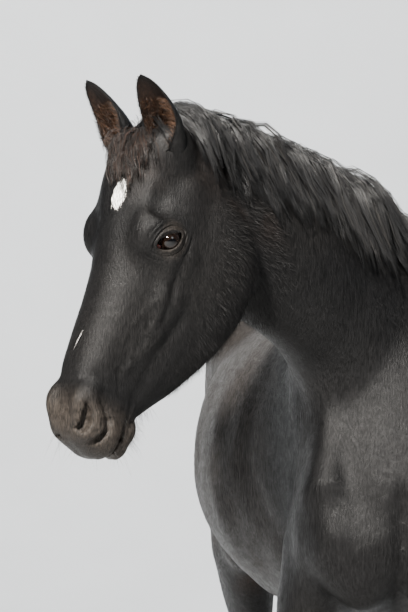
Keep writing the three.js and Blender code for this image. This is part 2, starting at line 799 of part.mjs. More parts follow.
const HOOF_TOP = { toe: 41, heel: 39, half: 41 };
const HOOF_SOLE = { toe: 69, heel: 62, half: 62 };
const HOOF_REACH = 34;                  // how far the sole's middle lies ahead of the coronet's
const HOOF_BEVEL = 3;

function hoofRing(centre, up, size) {
  const points = [];
  for (let j = 0; j < RAYS.hoof; j += 1) {
    const angle = (2 * Math.PI * j) / RAYS.hoof;
    const cos = Math.cos(angle);
    const sin = Math.sin(angle);
    const ahead = cos > 0 ? size.toe * cos : -size.heel * Math.abs(cos) ** 0.72;
    const out = size.half * Math.sign(sin) * Math.abs(sin) ** 0.9;
    points.push(add(add(centre, scale(up, ahead)), [out, 0, 0]));
  }
  return points;
}

function hoofGeometry(side, fore) {
  const top = legStation(side, fore, CORONET, GAP);
  const ground = [top.centre[0], top.centre[1] - HOOF_REACH, 0];
  const upper = hoofRing(top.centre, top.up, HOOF_TOP);
  const lower = hoofRing(ground, [0, -1, 0], HOOF_SOLE);
  const rim = lower.map((point, j) => mix(point, upper[j], HOOF_BEVEL / CORONET));
  const sole = lower.map((point) => mix(point, ground, 0.02));
  return loft([sole, rim, upper]);
}

// ---------------------------------------------------------------- mane, forelock and tail

const MANE_THICK = [3, 20, 22, 19, 14, 10, 3];     // outside the neck, from its right edge round
const MANE_FIRST = 1;                              // rays right of the crest where it starts
const MANE_DEEP = 14;                              // how far its root reaches into the neck

// The mane lies over the crest and hangs on the left side of the neck.
function maneGeometry(neckSolid) {
  const outlines = NECK_STATIONS.map((station, k) => {
    const t = k / (NECK_STATIONS.length - 1);
    const fade = 0.75 + 0.25 * Math.sin(Math.PI * t);
    const point = (j, offset) => {
      const index = (MANE_FIRST - j + RAYS.neck) % RAYS.neck;
      const reach = NECK_REACHES[k][index] + offset;
      return add(station.centre, scale(rayOf(station, index, RAYS.neck), reach));
    };
    const outer = MANE_THICK.map((thick, j) => point(j, thick * fade));
    const inner = MANE_THICK.map((_, j) => point(j, -MANE_DEEP)).reverse();
    return [...outer, ...inner].reverse();
  });
  return geometryOf(solidOf(loft(outlines)).subtract(neckSolid));
}

const FORELOCK_PLANES = 15;
const forelockHalf = curve([0, 6, 10, 14], [26, 34, 30, 8]);
const forelockThick = curve([0, 6, 10, 14], [18, 14, 12, 5]);

// The forelock follows the crest over the poll and down between the ears.
function forelockGeometry(headSolid) {
  const outlines = [];
  for (let k = 0; k < FORELOCK_PLANES; k += 1) {
    const station = HEAD_STATIONS[k];
    const centre = add(station.centre, scale(station.up, HEAD_REACHES[k][0] - 4));
    const ring = [];
    for (let j = 0; j < 10; j += 1) {
      const angle = (2 * Math.PI * j) / 10;
      const rise = scale(station.up, (forelockThick(k) + 4) * Math.cos(angle));
      ring.push(add(add(centre, rise), scale(station.side, forelockHalf(k) * Math.sin(angle))));
    }
    outlines.push(ring);
  }
  return geometryOf(solidOf(loft(outlines)).subtract(headSolid));
}

// The tail's axis, then its half width and its half depth at those points.
const TAIL_AXIS = [
  [0, 725, 1368],
  [0, 795, 1368],
  [0, 842, 1322],
  [0, 862, 1220],
  [0, 872, 1030],
  [0, 872, 760],
  [0, 860, TAIL_TIP],
];
const TAIL_HALF = [28, 34, 46, 62, 78, 70, 14];
const TAIL_DEPTH = [24, 28, 36, 44, 50, 44, 8];
const TAIL_PLANES = 14;

function tailGeometry(trunkSolid) {
  const steps = TAIL_AXIS.map((_, j) => j / (TAIL_AXIS.length - 1));
  const axis = [0, 1, 2].map((j) => curve(steps, TAIL_AXIS.map((point) => point[j])));
  const [half, depth] = [TAIL_HALF, TAIL_DEPTH].map((row) => curve(steps, row));
  const pointAt = (t) => axis.map((coordinate) => coordinate(t));
  const outlines = [];
  for (let k = 0; k < TAIL_PLANES; k += 1) {
    const t = k / (TAIL_PLANES - 1);
    const tangent = unit(sub(pointAt(Math.min(t + 0.01, 1)), pointAt(Math.max(t - 0.01, 0))));
    const up = cross([1, 0, 0], tangent);
    const ring = [];
    for (let j = 0; j < RAYS.leg; j += 1) {
      const angle = (2 * Math.PI * j) / RAYS.leg;
      const rise = scale(up, depth(t) * Math.cos(angle));
      ring.push(add(add(pointAt(t), rise), [half(t) * Math.sin(angle), 0, 0]));
    }
    outlines.push(ring);
  }
  return geometryOf(solidOf(loft(outlines)).subtract(trunkSolid));
}

// ---------------------------------------------------------------- materials

function finish(color, roughness, metalness = 0) {
  return () => new THREE.MeshStandardMaterial({ color, roughness, metalness });
}

const coat = finish(0x1c1815, 0.5);
const hair = finish(0x0d0c0c, 0.6);
const horn = finish(0x2b2622, 0.55);
const eyeball = finish(0x120a06, 0.08);

const group = new THREE.Group();

function part(name, geometry, material) {
  const mesh = new THREE.Mesh(geometry, material());
  mesh.name = name;
  group.add(mesh);
}

const clearOfHead = solidOf(grown(HEAD_STATIONS, HEAD_REACHES, GAP));
const clearOfNeck = solidOf(grown(NECK_STATIONS, NECK_REACHES, GAP));
const clearOfTrunk = solidOf(loftField((p) => withNeck(p) - 2 * GAP, trunkStations(), RAYS.trunk));

part('trunk', trunkGeometry(), coat);
part('neck', neckGeometry(), coat);
part('head', headGeometry(), coat);
part('mane', maneGeometry(clearOfNeck), hair);
part('forelock', forelockGeometry(clearOfHead), hair);
part('tail', tailGeometry(clearOfTrunk), hair);
for (const [hand, side] of [['left', 1], ['right', -1]]) {
  part(`ear_${hand}`, earGeometry(side, clearOfHead), coat);
  part(`eye_${hand}`, new THREE.SphereGeometry(EYE_RADIUS, 14, 9), eyeball);
  group.children[group.children.length - 1].position.set(...eyeCentre(side));
  for (const [pair, fore] of [['fore', true], ['hind', false]]) {
    part(`leg_${pair}_${hand}`, legGeometry(side, fore), coat);
    part(`hoof_${pair}_${hand}`, hoofGeometry(side, fore), horn);
  }
}

// The soles rest on the floor, under the middle of the whole outline.
const bounds = new THREE.Box3().setFromObject(group);
const middle = bounds.getCenter(new THREE.Vector3());
group.position.set(-middle.x, -middle.y, -bounds.min.z);

export default group;
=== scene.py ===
"""A young black horse standing at rest: one skin with its ears, short coat, mane, tail, eyes, hooves.

The skin is a surface round a field of distances that bones and muscles build up, in mm. The fur,
the mane and the tail grow from that surface.
"""

import math

import bpy
import numpy as np
from mathutils import Matrix, Vector


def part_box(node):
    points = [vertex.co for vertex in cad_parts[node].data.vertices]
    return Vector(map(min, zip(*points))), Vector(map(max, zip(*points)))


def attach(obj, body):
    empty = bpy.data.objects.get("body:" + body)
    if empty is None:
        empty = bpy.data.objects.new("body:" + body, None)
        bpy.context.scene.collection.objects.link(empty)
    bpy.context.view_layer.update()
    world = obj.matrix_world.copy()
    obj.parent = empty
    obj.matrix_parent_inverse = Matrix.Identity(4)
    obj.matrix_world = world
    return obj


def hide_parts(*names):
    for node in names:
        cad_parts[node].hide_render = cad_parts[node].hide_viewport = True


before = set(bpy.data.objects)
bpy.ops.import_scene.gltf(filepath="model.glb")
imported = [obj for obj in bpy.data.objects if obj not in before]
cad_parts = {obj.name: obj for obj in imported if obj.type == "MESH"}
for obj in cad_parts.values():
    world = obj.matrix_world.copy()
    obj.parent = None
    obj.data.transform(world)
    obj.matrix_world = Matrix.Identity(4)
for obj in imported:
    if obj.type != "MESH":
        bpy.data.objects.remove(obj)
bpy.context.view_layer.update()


# ---------------------------------------------------------------- the animal's sizes, in mm
# The same bones and muscles as the solids', in the same axes: the chest faces -Y, the animal's
# left is +X, the floor is z = 0. SHIFT below moves them into the frame.

POLL = np.array([-508.0, -945.0, 1795.0])   # top of the head, between the ears
HEAD_HEADING = 55.3                         # degrees that the face looks to the animal's right
HEAD_PITCH = 72.8                           # degrees that the face hangs below level
HEAD_ROLL = 4.0                             # degrees that the head tips over
CORONET = 74.0                              # height of the middle of the top of the hoof
CORONET_TILT = 30.0                         # degrees that the top of the hoof slopes
EYE = np.array([191.0, -71.0, 86.0])        # centre of the eyeball in the head's frame
EYE_RADIUS = 22.5
LID = 3.2                                   # thickness of the eyelids
LID_OVERLAP = 11.0                          # mm round the slit where the eyelids' own skin shows
STEP = {"fore": (18.0, -30.0), "hind": (-42.0, 28.0)}   # how far the left, right hooves stand ahead
STEP_TOP = 840.0
STEP_RUN = 700.0
COAT = 3.0                                  # depth of the short coat over the skin
FACE_COAT = 0.8

# Sections of the trunk: y, top, bottom, half width, height of the widest point.
TRUNK = np.array([
    [-752, 1130, 1005, 40, 1060],           # front of the breast
    [-715, 1240, 948, 100, 1070],
    [-640, 1410, 892, 146, 1090],
    [-520, 1512, 866, 170, 1120],           # elbows
    [-400, 1545, 850, 184, 1130],           # withers
    [-250, 1512, 838, 240, 1130],
    [-60, 1474, 831, 305, 1125],
    [140, 1470, 844, 319, 1130],            # widest ribs
    [330, 1500, 900, 272, 1170],            # flank
    [480, 1535, 975, 228, 1240],            # croup
    [640, 1502, 1060, 165, 1280],
    [745, 1410, 1140, 92, 1290],
    [790, 1320, 1215, 28, 1268],            # under the tail
], float)

# Sections of the limbs: height, x of the axis, front, back, half width.
FORELEG = np.array([
    [1010, 142, -636, -424, 44],
    [900, 152, -626, -430, 60],             # elbow
    [820, 153, -614, -452, 57],
    [740, 149, -603, -474, 50],
    [640, 146, -592, -499, 42],
    [560, 143, -588, -512, 37],
    [510, 142, -592, -514, 40],
    [468, 141, -600, -508, 44],             # knee
    [430, 140, -594, -506, 41],
    [395, 139, -585, -514, 32],
    [340, 138, -581, -516, 27],             # cannon
    [280, 137, -580, -514, 27],
    [238, 136, -584, -508, 33],
    [206, 136, -590, -502, 36],             # fetlock
    [180, 136, -594, -512, 33],
    [150, 136, -604, -538, 29],             # pastern
    [122, 136, -617, -556, 29],
    [98, 136, -632, -560, 38],              # coronet
    [40, 136, -646, -572, 41],
], float)
HINDLEG = np.array([
    [1060, 164, 350, 670, 60],
    [1000, 174, 340, 684, 72],
    [930, 178, 352, 686, 72],               # stifle
    [860, 172, 398, 680, 64],
    [790, 162, 455, 674, 54],               # gaskin
    [730, 152, 512, 688, 45],
    [680, 144, 560, 712, 39],
    [640, 138, 590, 750, 38],
    [600, 134, 612, 776, 40],               # hock
    [560, 132, 628, 764, 41],
    [520, 131, 645, 750, 36],
    [470, 130, 655, 740, 30],
    [400, 129, 660, 733, 27],               # cannon
    [300, 128, 662, 733, 27],
    [250, 128, 660, 738, 32],
    [212, 128, 654, 746, 36],               # fetlock
    [185, 128, 648, 736, 33],
    [150, 128, 632, 706, 29],               # pastern
    [122, 128, 616, 686, 29],
    [98, 128, 600, 676, 38],                # coronet
    [40, 128, 586, 664, 41],
], float)

# The neck's axis from inside the chest to inside the poll, then its half width and its reach
# up to the crest and down to the throat at those points.
NECK_AXIS = np.array([
    [0, -300, 1190],
    [-8, -420, 1280],
    [-50, -530, 1390],
    [-140, -635, 1510],
    [-265, -735, 1595],
    [-385, -830, 1655],
    [-468, -893, 1690],
], float)
NECK_HALF = [196, 176, 134, 98, 84, 76, 72]
NECK_UP = [300, 285, 250, 215, 178, 150, 125]
NECK_DOWN = [225, 200, 160, 150, 146, 140, 130]
CREST_NARROWING = 0.34                      # how much narrower the neck is at its crest

# Sections of the skull in the head's frame (u down the face, v out of it, w to the left):
# u, top, bottom, half width, v of the widest point, squareness above and below it.
SKULL = np.array([
    [-60, -70, -150, 36, -105, 2.2, 2.2],
    [0, -14, -178, 62, -95, 2.2, 2.3],      # poll
    [60, 0, -210, 78, -105, 2.3, 2.8],
    [120, 6, -256, 86, -118, 2.4, 3.2],     # forehead
    [170, 7, -292, 88, -120, 2.4, 3.4],     # angle of the jaw
    [215, 2, -302, 86, -118, 2.5, 3.4],
    [262, -3, -302, 80, -110, 2.5, 3.3],
    [315, -1, -285, 72, -98, 2.6, 3.1],
    [360, 3, -260, 65, -78, 2.7, 2.8],      # bridge of the nose
    [400, 6, -232, 60, -62, 2.8, 2.5],
    [440, 8, -200, 56, -52, 2.9, 2.2],
    [480, 5, -162, 50, -50, 2.9, 2.0],
    [510, 1, -136, 50, -54, 2.8, 2.1],      # nostrils
    [540, -10, -130, 49, -60, 2.5, 2.2],
    [564, -28, -118, 40, -68, 2.3, 2.2],
    [582, -54, -100, 20, -76, 2.2, 2.2],    # lips
], float)


# ---------------------------------------------------------------- curves and frames

def unit(a):
    a = np.asarray(a, float)
    return a / np.linalg.norm(a, axis=-1, keepdims=True)


def smooth_step(t):
    t = np.clip(t, 0.0, 1.0)
    return t * t * (3.0 - 2.0 * t)


def curve(x, keys, values):
    """A smooth curve through values at rising keys that never overshoots them."""
    keys = np.asarray(keys, float)
    values = np.asarray(values, float)
    run = np.diff(keys)
    slope = np.diff(values) / run
    tangent = np.empty(len(keys))
    tangent[0], tangent[-1] = slope[0], slope[-1]
    before, after = slope[:-1], slope[1:]
    total = np.where(before * after > 0, before + after, 1.0)
    tangent[1:-1] = np.where(before * after > 0, 2.0 * before * after / total, 0.0)
    x = np.clip(x, keys[0], keys[-1])
    j = np.clip(np.searchsorted(keys, x, side="right") - 1, 0, len(run) - 1)
    t = (x - keys[j]) / run[j]
    s = 1.0 - t
    return ((1 + 2 * t) * s * s * values[j] + t * s * s * run[j] * tangent[j]
            + t * t * (3 - 2 * t) * values[j + 1] - t * t * s * run[j] * tangent[j + 1])


def columns(table, x):
    """The other columns of a table of sections at x, read along its first column."""
    rows = table[np.argsort(table[:, 0])]
    return [curve(x, rows[:, 0], rows[:, j]) for j in range(1, table.shape[1])]


def head_axes():
    heading, pitch, roll = np.radians([HEAD_HEADING, HEAD_PITCH, HEAD_ROLL])
    ahead = np.array([-np.sin(heading), -np.cos(heading), 0.0])
    up = np.array([0.0, 0.0, 1.0])
    u = ahead * np.cos(pitch) - up * np.sin(pitch)
    face = ahead * np.sin(pitch) + up * np.cos(pitch)
    left = np.cross(face, u)
    v = face * np.cos(roll) - left * np.sin(roll)
    w = left * np.cos(roll) + face * np.sin(roll)
    return np.stack([u, v, w])


HEAD = head_axes()                          # rows are u, v and w
HEAD_CENTRE = POLL + np.array([290.0, -110.0, 0.0]) @ HEAD


def to_head(p):
    return (p - POLL) @ HEAD.T


def head_point(q):
    return POLL + np.asarray(q, float) @ HEAD


def head_away(p):
    """How far points are from the middle of the head."""
    return np.linalg.norm(p - HEAD_CENTRE, axis=1)


# The eye's own axes in the head's frame: along the lids to the outer corner, down to the lower
# lid, and out along the line of sight.
EYE_OUT = unit([0.30, 0.20, 0.93])
EYE_ALONG = unit(np.array([-0.58, -0.73, 0.36]) - EYE_OUT * (EYE_OUT @ [-0.58, -0.73, 0.36]))
EYE_DOWN = np.cross(EYE_OUT, EYE_ALONG)
EYE_AXES = np.stack([EYE_ALONG, EYE_DOWN, EYE_OUT])


# ---------------------------------------------------------------- the distance field

REACH = 90.0                                # a shape is felt this far outside its own bounds


class Field:
    """Distances at points, built up by one smooth union or cut at a time."""

    def __init__(self, points, start=None):
        self.p = points
        self.d = np.full(len(points), 400.0) if start is None else start

    def blend(self, index, distance, k, cut=False):
        old = self.d[index]
        sign = -1.0 if cut else 1.0
        old = old * sign
        h = np.maximum(k - np.abs(old - distance), 0.0) / k
        self.d[index] = sign * (np.minimum(old, distance) - h * h * k / 4.0)

    def near(self, centre, radius):
        q = self.p - centre
        return np.nonzero(np.einsum("ij,ij->i", q, q) < radius * radius)[0]

    def ball(self, centre, r, k, tilt=0.0, cut=False):
        """An ellipsoid with half sizes r, turned about x by tilt degrees."""
        centre = np.asarray(centre, float)
        r = np.asarray(r, float)
        index = self.near(centre, r.max() + REACH + k)
        if len(index) == 0:
            return
        q = self.p[index] - centre
        if tilt:
            c, s = np.cos(np.radians(tilt)), np.sin(np.radians(tilt))
            q = np.stack([q[:, 0], q[:, 1] * c + q[:, 2] * s, q[:, 2] * c - q[:, 1] * s], 1)
        k0 = np.sqrt(((q / r) ** 2).sum(1))
        k1 = np.sqrt(((q / r ** 2) ** 2).sum(1)) + 1e-9
        self.blend(index, k0 * (k0 - 1.0) / k1, k, cut)

    def bar(self, a, b, ra, rb, k, side=(1, 0, 0), cut=False):
        """A tapered bar from a to b. Its half sizes at each end are along and across side."""
        a, b, ra, rb = [np.asarray(value, float) for value in (a, b, ra, rb)]
        span = np.linalg.norm(b - a)
        axis = (b - a) / span
        first = unit(np.asarray(side, float) - axis * (axis @ np.asarray(side, float)))
        second = np.cross(axis, first)
        index = self.near((a + b) / 2.0, span / 2.0 + max(ra.max(), rb.max()) + REACH + k)
        if len(index) == 0:
            return
        q = self.p[index] - a
        t = q @ axis
        on = np.clip(t / span, 0.0, 1.0)
        w = ra[0] + (rb[0] - ra[0]) * on
        h = ra[1] + (rb[1] - ra[1]) * on
        e = np.minimum(w, h)
        x, y, z = q @ first, q @ second, t - on * span
        k0 = np.sqrt((x / w) ** 2 + (y / h) ** 2 + (z / e) ** 2)
        k1 = np.sqrt((x / w ** 2) ** 2 + (y / h ** 2) ** 2 + (z / e ** 2) ** 2) + 1e-9
        self.blend(index, k0 * (k0 - 1.0) / k1, k, cut)

    def chain(self, points, sizes, k, **options):
        """Bars joined end to end through points, each with its own half sizes."""
        for j in range(len(points) - 1):
            self.bar(points[j], points[j + 1], sizes[j], sizes[j + 1], k, **options)


def egg(x, z, half, top, bottom, wide, above, below):
    """Distance from an egg: half width, top, bottom, widest height, squareness of each part."""
    dz = z - wide
    tall = np.where(dz > 0, top - wide, wide - bottom)
    power = np.where(dz > 0, above, below)
    n = ((np.abs(x) / half) ** power + (np.abs(dz) / tall) ** power) ** (1.0 / power)
    return np.sqrt(x * x + dz * dz + 1e-6) * (1.0 - 1.0 / np.maximum(n, 1e-4))


def capped(distance, past, k=24.0):
    """The distance of a shape that is cut off where past turns positive, with a round edge."""
    h = np.maximum(k - np.abs(distance - past), 0.0)
    return np.maximum(distance, past) + h * h / (4.0 * k)


def past_ends(x, low, high):
    return np.maximum(low - x, x - high)


def add_trunk(f):
    x, y, z = f.p.T
    index = np.nonzero((y > -1000.0) & (y < 1000.0))[0]
    x, y, z = x[index], y[index], z[index]
    top, bottom, half, wide = columns(TRUNK, y)
    d = egg(x, z, half, top, bottom, wide, 2.15, 2.15)
    f.blend(index, capped(d, past_ends(y, TRUNK[0, 0], TRUNK[-1, 0])), 30.0)


def add_muscles(f):
    """The left half's muscles, on points whose x is mirrored to the left."""
    f.bar([82, -440, 1465], [132, -645, 1110], [42, 105], [50, 100], 45)   # shoulder blade
    f.ball([122, -664, 1050], [56, 82, 90], 50)                            # point of the shoulder
    f.ball([134, -530, 1005], [58, 140, 120], 50, tilt=-20)                # back of the upper arm
    f.ball([70, -694, 1000], [74, 62, 96], 40)                             # breast
    f.ball([36, -420, 1496], [42, 150, 50], 60)                            # withers
    f.ball([112, 430, 1340], [142, 240, 162], 70, tilt=-8)                 # croup
    f.ball([214, 335, 1384], [38, 72, 50], 70)                             # point of the hip
    f.ball([145, 550, 1200], [118, 205, 250], 60, tilt=12)                 # thigh
    f.ball([165, 450, 1050], [92, 165, 180], 60, tilt=20)
    f.ball([92, 680, 1215], [84, 108, 210], 50, tilt=4)                    # buttock
    f.ball([196, 350, 960], [46, 62, 75], 40)                              # stifle


def add_column(f, table, k):
    """An upright limb through the rows of a table."""
    low, high = table[:, 0].min(), table[:, 0].max()
    x, y, z = f.p.T
    inside = (z < high + REACH + k) & (y > table[:, 2].min() - 200) & (y < table[:, 3].max() + 200)
    index = np.nonzero(inside)[0]
    x, y, z = x[index], y[index], z[index]
    axis, front, back, half = columns(table, z)
    d = egg(x - axis, y, half, back, front, (back + front) / 2.0, 2.15, 2.15)
    f.blend(index, capped(d, past_ends(z, low, high)), k)


def step_at(x, y, z):
    """How far forward the point of a leg has moved with its hoof."""
    fore = np.where(x > 0, STEP["fore"][0], STEP["fore"][1])
    hind = np.where(x > 0, STEP["hind"][0], STEP["hind"][1])
    return np.where(y < 0, fore, hind) * smooth_step((STEP_TOP - z) / STEP_RUN)


def add_legs(f):
    add_column(f, FORELEG, 45)
    f.ball([140, -512, 452], [24, 20, 28], 16)                             # back of the knee
    f.ball([136, -512, 198], [26, 18, 24], 14)                             # back of the fetlock
    add_column(f, HINDLEG, 50)
    f.bar([156, 640, 880], [134, 752, 660], [22, 26], [14, 16], 30)        # tendon of the hock
    f.ball([132, 762, 632], [18, 24, 34], 20)                              # point of the hock
    f.ball([128, 736, 200], [26, 18, 24], 14)


def neck_at(t):
    steps = np.linspace(0.0, 1.0, len(NECK_AXIS))
    return np.stack([curve(t, steps, NECK_AXIS[:, j]) for j in range(3)], 1)


NECK_KNOTS = 32
KNOT_PULL = 60.0                            # how far along the neck its knots are felt, in mm


def neck_knots():
    t = np.linspace(0.0, 1.0, NECK_KNOTS)
    tangent = unit(neck_at(np.minimum(t + 0.02, 1)) - neck_at(np.maximum(t - 0.02, 0)))
    right = unit(np.cross(tangent, [0.0, 0.0, 1.0]))
    return t, neck_at(t), tangent, right, np.cross(right, tangent)


NECK = neck_knots()


def on_neck(p):
    """How far each point is along the neck, its offset across and up, and how far past its ends."""
    t, knot, tangent, right, up = NECK
    square = (p * p).sum(1)[:, None] - 2.0 * p @ knot.T + (knot * knot).sum(1)
    pull = np.exp((square.min(1)[:, None] - square) / KNOT_PULL ** 2)
    pull /= pull.sum(1)[:, None]
    off = p - pull @ knot
    across = (off * (pull @ right)).sum(1)
    height = (off * (pull @ up)).sum(1)
    past = np.maximum((knot[0] - p) @ tangent[0], (p - knot[-1]) @ tangent[-1])
    return pull @ t, across, height, past


def add_neck(f):
    x, y, z = f.p.T
    index = np.nonzero((x > -850) & (x < 420) & (y < -80) & (z > 800))[0]
    if len(index) == 0:
        return
    t, across, height, past = on_neck(f.p[index])
    steps = np.linspace(0.0, 1.0, len(NECK_AXIS))
    half, up, down = [curve(t, steps, row) for row in (NECK_HALF, NECK_UP, NECK_DOWN)]
    rise = smooth_step(height / up) * smooth_step(t * 3.0)     # a pear, narrow at the crest
    d = egg(across, height, half * (1 - CREST_NARROWING * rise), up, -down, 0.0, 2.1, 2.1)
    f.blend(index, capped(d, past), 70)


ACROSS = {"side": (0, 0, 1)}                 # the way that a bar's first half size is measured


def add_face(f):
    """Bones and muscles of the head's left half, on points whose w is mirrored to the left."""
    f.ball([188, -190, 50], [106, 92, 36], 30)                             # cheek
    f.ball([180, -36, 80], [46, 30, 28], 34)                               # brow
    f.ball([194, -72, 76], [36, 32, 22], 24)                               # flesh round the eye
    f.bar([214, -98, 70], [92, -96, 70], [12, 20], [10, 16], 44, **ACROSS)     # cheek bone
    f.chain([[214, -112, 72], [290, -112, 63], [390, -96, 42]],            # crest below the eye
            [[8, 14], [8, 13], [6, 10]], 36, **ACROSS)
    f.ball([86, -34, 36], [66, 31, 38], 40)                                # temple
    f.ball([30, -50, 62], [42, 42, 30], 30)                                # root of the ear
    f.ball([500, -14, 40], [34, 26, 20], 18)                               # wing of the nostril
    f.ball([526, -34, 40], [36, 30, 18], 14)
    f.ball([540, -58, 12], [40, 48, 40], 24)                               # muzzle
    f.ball([562, -78, 14], [22, 30, 28], 16)                               # upper lip
    f.ball([546, -122, 6], [32, 19, 25], 12)                               # lower lip
    f.ball([522, -134, 6], [24, 15, 23], 12)                               # chin
    f.ball([340, -322, 0], [118, 48, 22], 20, cut=True)                    # space between the jaws
    f.ball([132, -34, 94], [26, 17, 12], 18, cut=True)                     # hollow above the eye
    f.ball(EYE, [EYE_RADIUS + LID] * 3, 12)                                # lids over the eyeball


NOSTRIL = [[506, -9, 53], [520, -16, 54], [536, -20, 52], [549, -18, 48], [559, -11, 42]]
NOSTRIL_WING = [[506, -22, 47], [520, -36, 46], [536, -40, 44], [552, -34, 40]]
WING_CREASE = [[494, -38, 58], [506, -54, 58], [522, -64, 56], [540, -64, 53], [556, -56, 49],
               [566, -44, 44]]
LIPS = [[484, -111, 47], [500, -111, 45], [520, -110, 42], [545, -107, 37], [568, -102, 27],
        [584, -97, 6]]


# Where down the face the right nostril starts to shut, over what length, and how far it moves.
SHUT_BELOW, SHUT_RUN = 526.0, 14.0
SHUT_AWAY = np.array([0.0, 12.0, 22.0])


def add_face_openings(f, right_side):
    """Eyelids, nostrils and the mouth, finer than the solids need."""
    f.chain(NOSTRIL_WING, [[9, 9], [12, 11], [12, 11], [9, 8]], 10, **ACROSS)
    f.chain(WING_CREASE, [[2, 1.5], [5, 3], [7, 4], [7, 4], [5, 3], [2, 1.5]], 9, cut=True, **ACROSS)
    # The right nostril is shut at its lower end.
    both = f.p
    shut = smooth_step((both[:, 0] - SHUT_BELOW) / SHUT_RUN) * right_side
    f.p = both + shut[:, None] * SHUT_AWAY
    f.chain(NOSTRIL, [[5, 2.5], [13, 5.5], [17, 7.0], [14, 5.5], [5, 2]], 6, cut=True, **ACROSS)
    f.p = both
    f.chain(LIPS, [[5, 1.2], [9, 2.0], [11, 2.4], [12, 2.4], [12, 2.2], [12, 2.0]], 4, cut=True,
            **ACROSS)
    f.ball([484, -111, 46], [5, 4, 5], 6, cut=True)                        # corner of the mouth
    q = (f.p - EYE) @ EYE_AXES.T
    index = np.nonzero((np.abs(q).max(1) < 60) & (q[:, 2] > -12))[0]
    if len(index):
        # The lids are made apart from the flesh, so it is open wider than they are.
        a, s, n = q[index].T
        wide = lid_slit(a, s) - LID_OVERLAP
        behind = np.hypot(np.maximum(wide, 0), n) + np.minimum(wide, 0)
        f.blend(index, np.where(n > 0, wide, np.maximum(behind, -n)), 2.0, cut=True)
        f.d[index] += 1.7 * smooth_step((22.0 - LID_OVERLAP - wide) / 5.0) * smooth_step(n / 6)


# The almond between the lids: half its length, and its height above and under its corners.
LID_HALF, LID_ABOVE, LID_UNDER = 28.0, 17.0, 14.0
UPPER_RADIUS = (LID_HALF ** 2 + LID_ABOVE ** 2) / (2 * LID_ABOVE)
LOWER_RADIUS = (LID_HALF ** 2 + LID_UNDER ** 2) / (2 * LID_UNDER)


def lid_slit(a, s):
    """Distance outside the almond between the lids, at a along it and s down it."""
    high = s + 1.5
    upper = np.hypot(a, high - (UPPER_RADIUS - LID_ABOVE)) - UPPER_RADIUS
    lower = np.hypot(a, high + (LOWER_RADIUS - LID_UNDER)) - LOWER_RADIUS
    return capped(upper, lower, 7.0)


# ---------------------------------------------------------------- folds, veins and uneven flesh

UNEVEN = unit(np.random.default_rng(7).normal(size=(22, 3)))
UNEVEN *= np.random.default_rng(9).uniform(2.6, 7.0, (22, 1))
UNEVEN_PHASE = np.random.default_rng(8).random(22) * 6.28


def uneven(p, size):
    """Smooth noise between about -1 and 1 whose lumps are about size across."""
    total = np.zeros(len(p))
    for k, phase in zip(UNEVEN, UNEVEN_PHASE):
        total += np.sin(p @ (k / size) + phase)
    return total / 6.0


# Ridges, veins and folds of the cheek: height, half width, then the ends and any bend of each,
# down the face and into it.
FACE_LINES = [
    (3.0, 12, [(225, -80), (320, -100)]),                   # facial crest
    (-3.6, 8, [(180, -110), (320, -110)]),                  # hollow under the crest
    (3.0, 9, [(330, -95), (345, -95)]),                     # end of the crest
    (-2.2, 3.2, [(350, -85), (330, -85), (330, -110)]),     # fold round its end
    (3.2, 9, [(350, -115), (430, -70)]),                    # muscle up to the nostril
    (-4.6, 12, [(320, -150), (400, -120), (465, -110)]),    # hollow behind the mouth
    (2.2, 8, [(360, -170), (440, -140)]),                   # muscle under the hollow
    (-2.6, 3.2, [(430, -55), (465, -70)]),                  # fold by the nostril
    (-1.3, 1.9, [(210, -40), (230, -35)]),                  # tear groove
    (1.4, 3.0, [(295, -85), (345, -60), (420, -75)]),       # veins
    (1.1, 2.6, [(345, -60), (400, -45)]),
    (1.2, 3.2, [(260, -150), (330, -215)]),
]


def line_away(u, v, points):
    """Distance of (u, v) places from a line through points."""
    away = np.full(len(u), np.inf)
    for (u0, v0), (u1, v1) in zip(points, points[1:]):
        du, dv = u1 - u0, v1 - v0
        t = np.clip(((u - u0) * du + (v - v0) * dv) / (du * du + dv * dv), 0, 1)
        away = np.minimum(away, np.hypot(u - u0 - t * du, v - v0 - t * dv))
    return away


WRINKLES_FROM, WRINKLES_TO = 1150, 1275     # heights of the wrinkles at the foot of the neck
WRINKLE_GAP = 19.0                          # mm from one wrinkle to the next
WRINKLE_DEPTH = 3.4
FURROW_FROM, FURROW_TO = 860, 1170          # heights of the groove down the middle of the breast
FURROW_HALF, FURROW_DEPTH = 15.0, 9.0
UNEVEN_HEIGHT, UNEVEN_SIZE = 1.9, 100       # the body's own lumps


def detail(p):
    """How far the skin stands out from the plain animal, in mm."""
    x, y, z = p.T
    away = head_away(p)
    rough = smooth_step((away - 330) / 120)
    out = rough * UNEVEN_HEIGHT * uneven(p, UNEVEN_SIZE)
    chest = smooth_step((-560 - y) / 60) * smooth_step((WRINKLES_TO - z) / 25)
    chest = chest * smooth_step((z - WRINKLES_FROM) / 25) * smooth_step((150 - np.abs(x - 40)) / 60)
    turn = z - WRINKLES_FROM + 9 * np.sin(x / 45.0) + 4 * np.sin(x / 17.0)
    turn = turn * (math.pi / WRINKLE_GAP)
    faint = 0.7 + 0.4 * np.sin(x / 31.0 + z / 23.0)
    out -= WRINKLE_DEPTH * chest * (1 - np.abs(np.sin(turn))) ** 2 * faint
    middle = smooth_step((-600 - y) / 60) * smooth_step((FURROW_TO - z) / 60)
    middle = middle * smooth_step((z - FURROW_FROM) / 60)
    out -= FURROW_DEPTH * middle * np.exp(-(x / FURROW_HALF) ** 2)
    near = np.nonzero(away < 340)[0]
    if len(near):
        u, v, w = to_head(p[near]).T
        side = smooth_step((np.abs(w) - 22) / 16)
        for height, half, points in FACE_LINES:
            out[near] += height * side * np.exp(-(line_away(u, v, points) / half) ** 2)
    return out


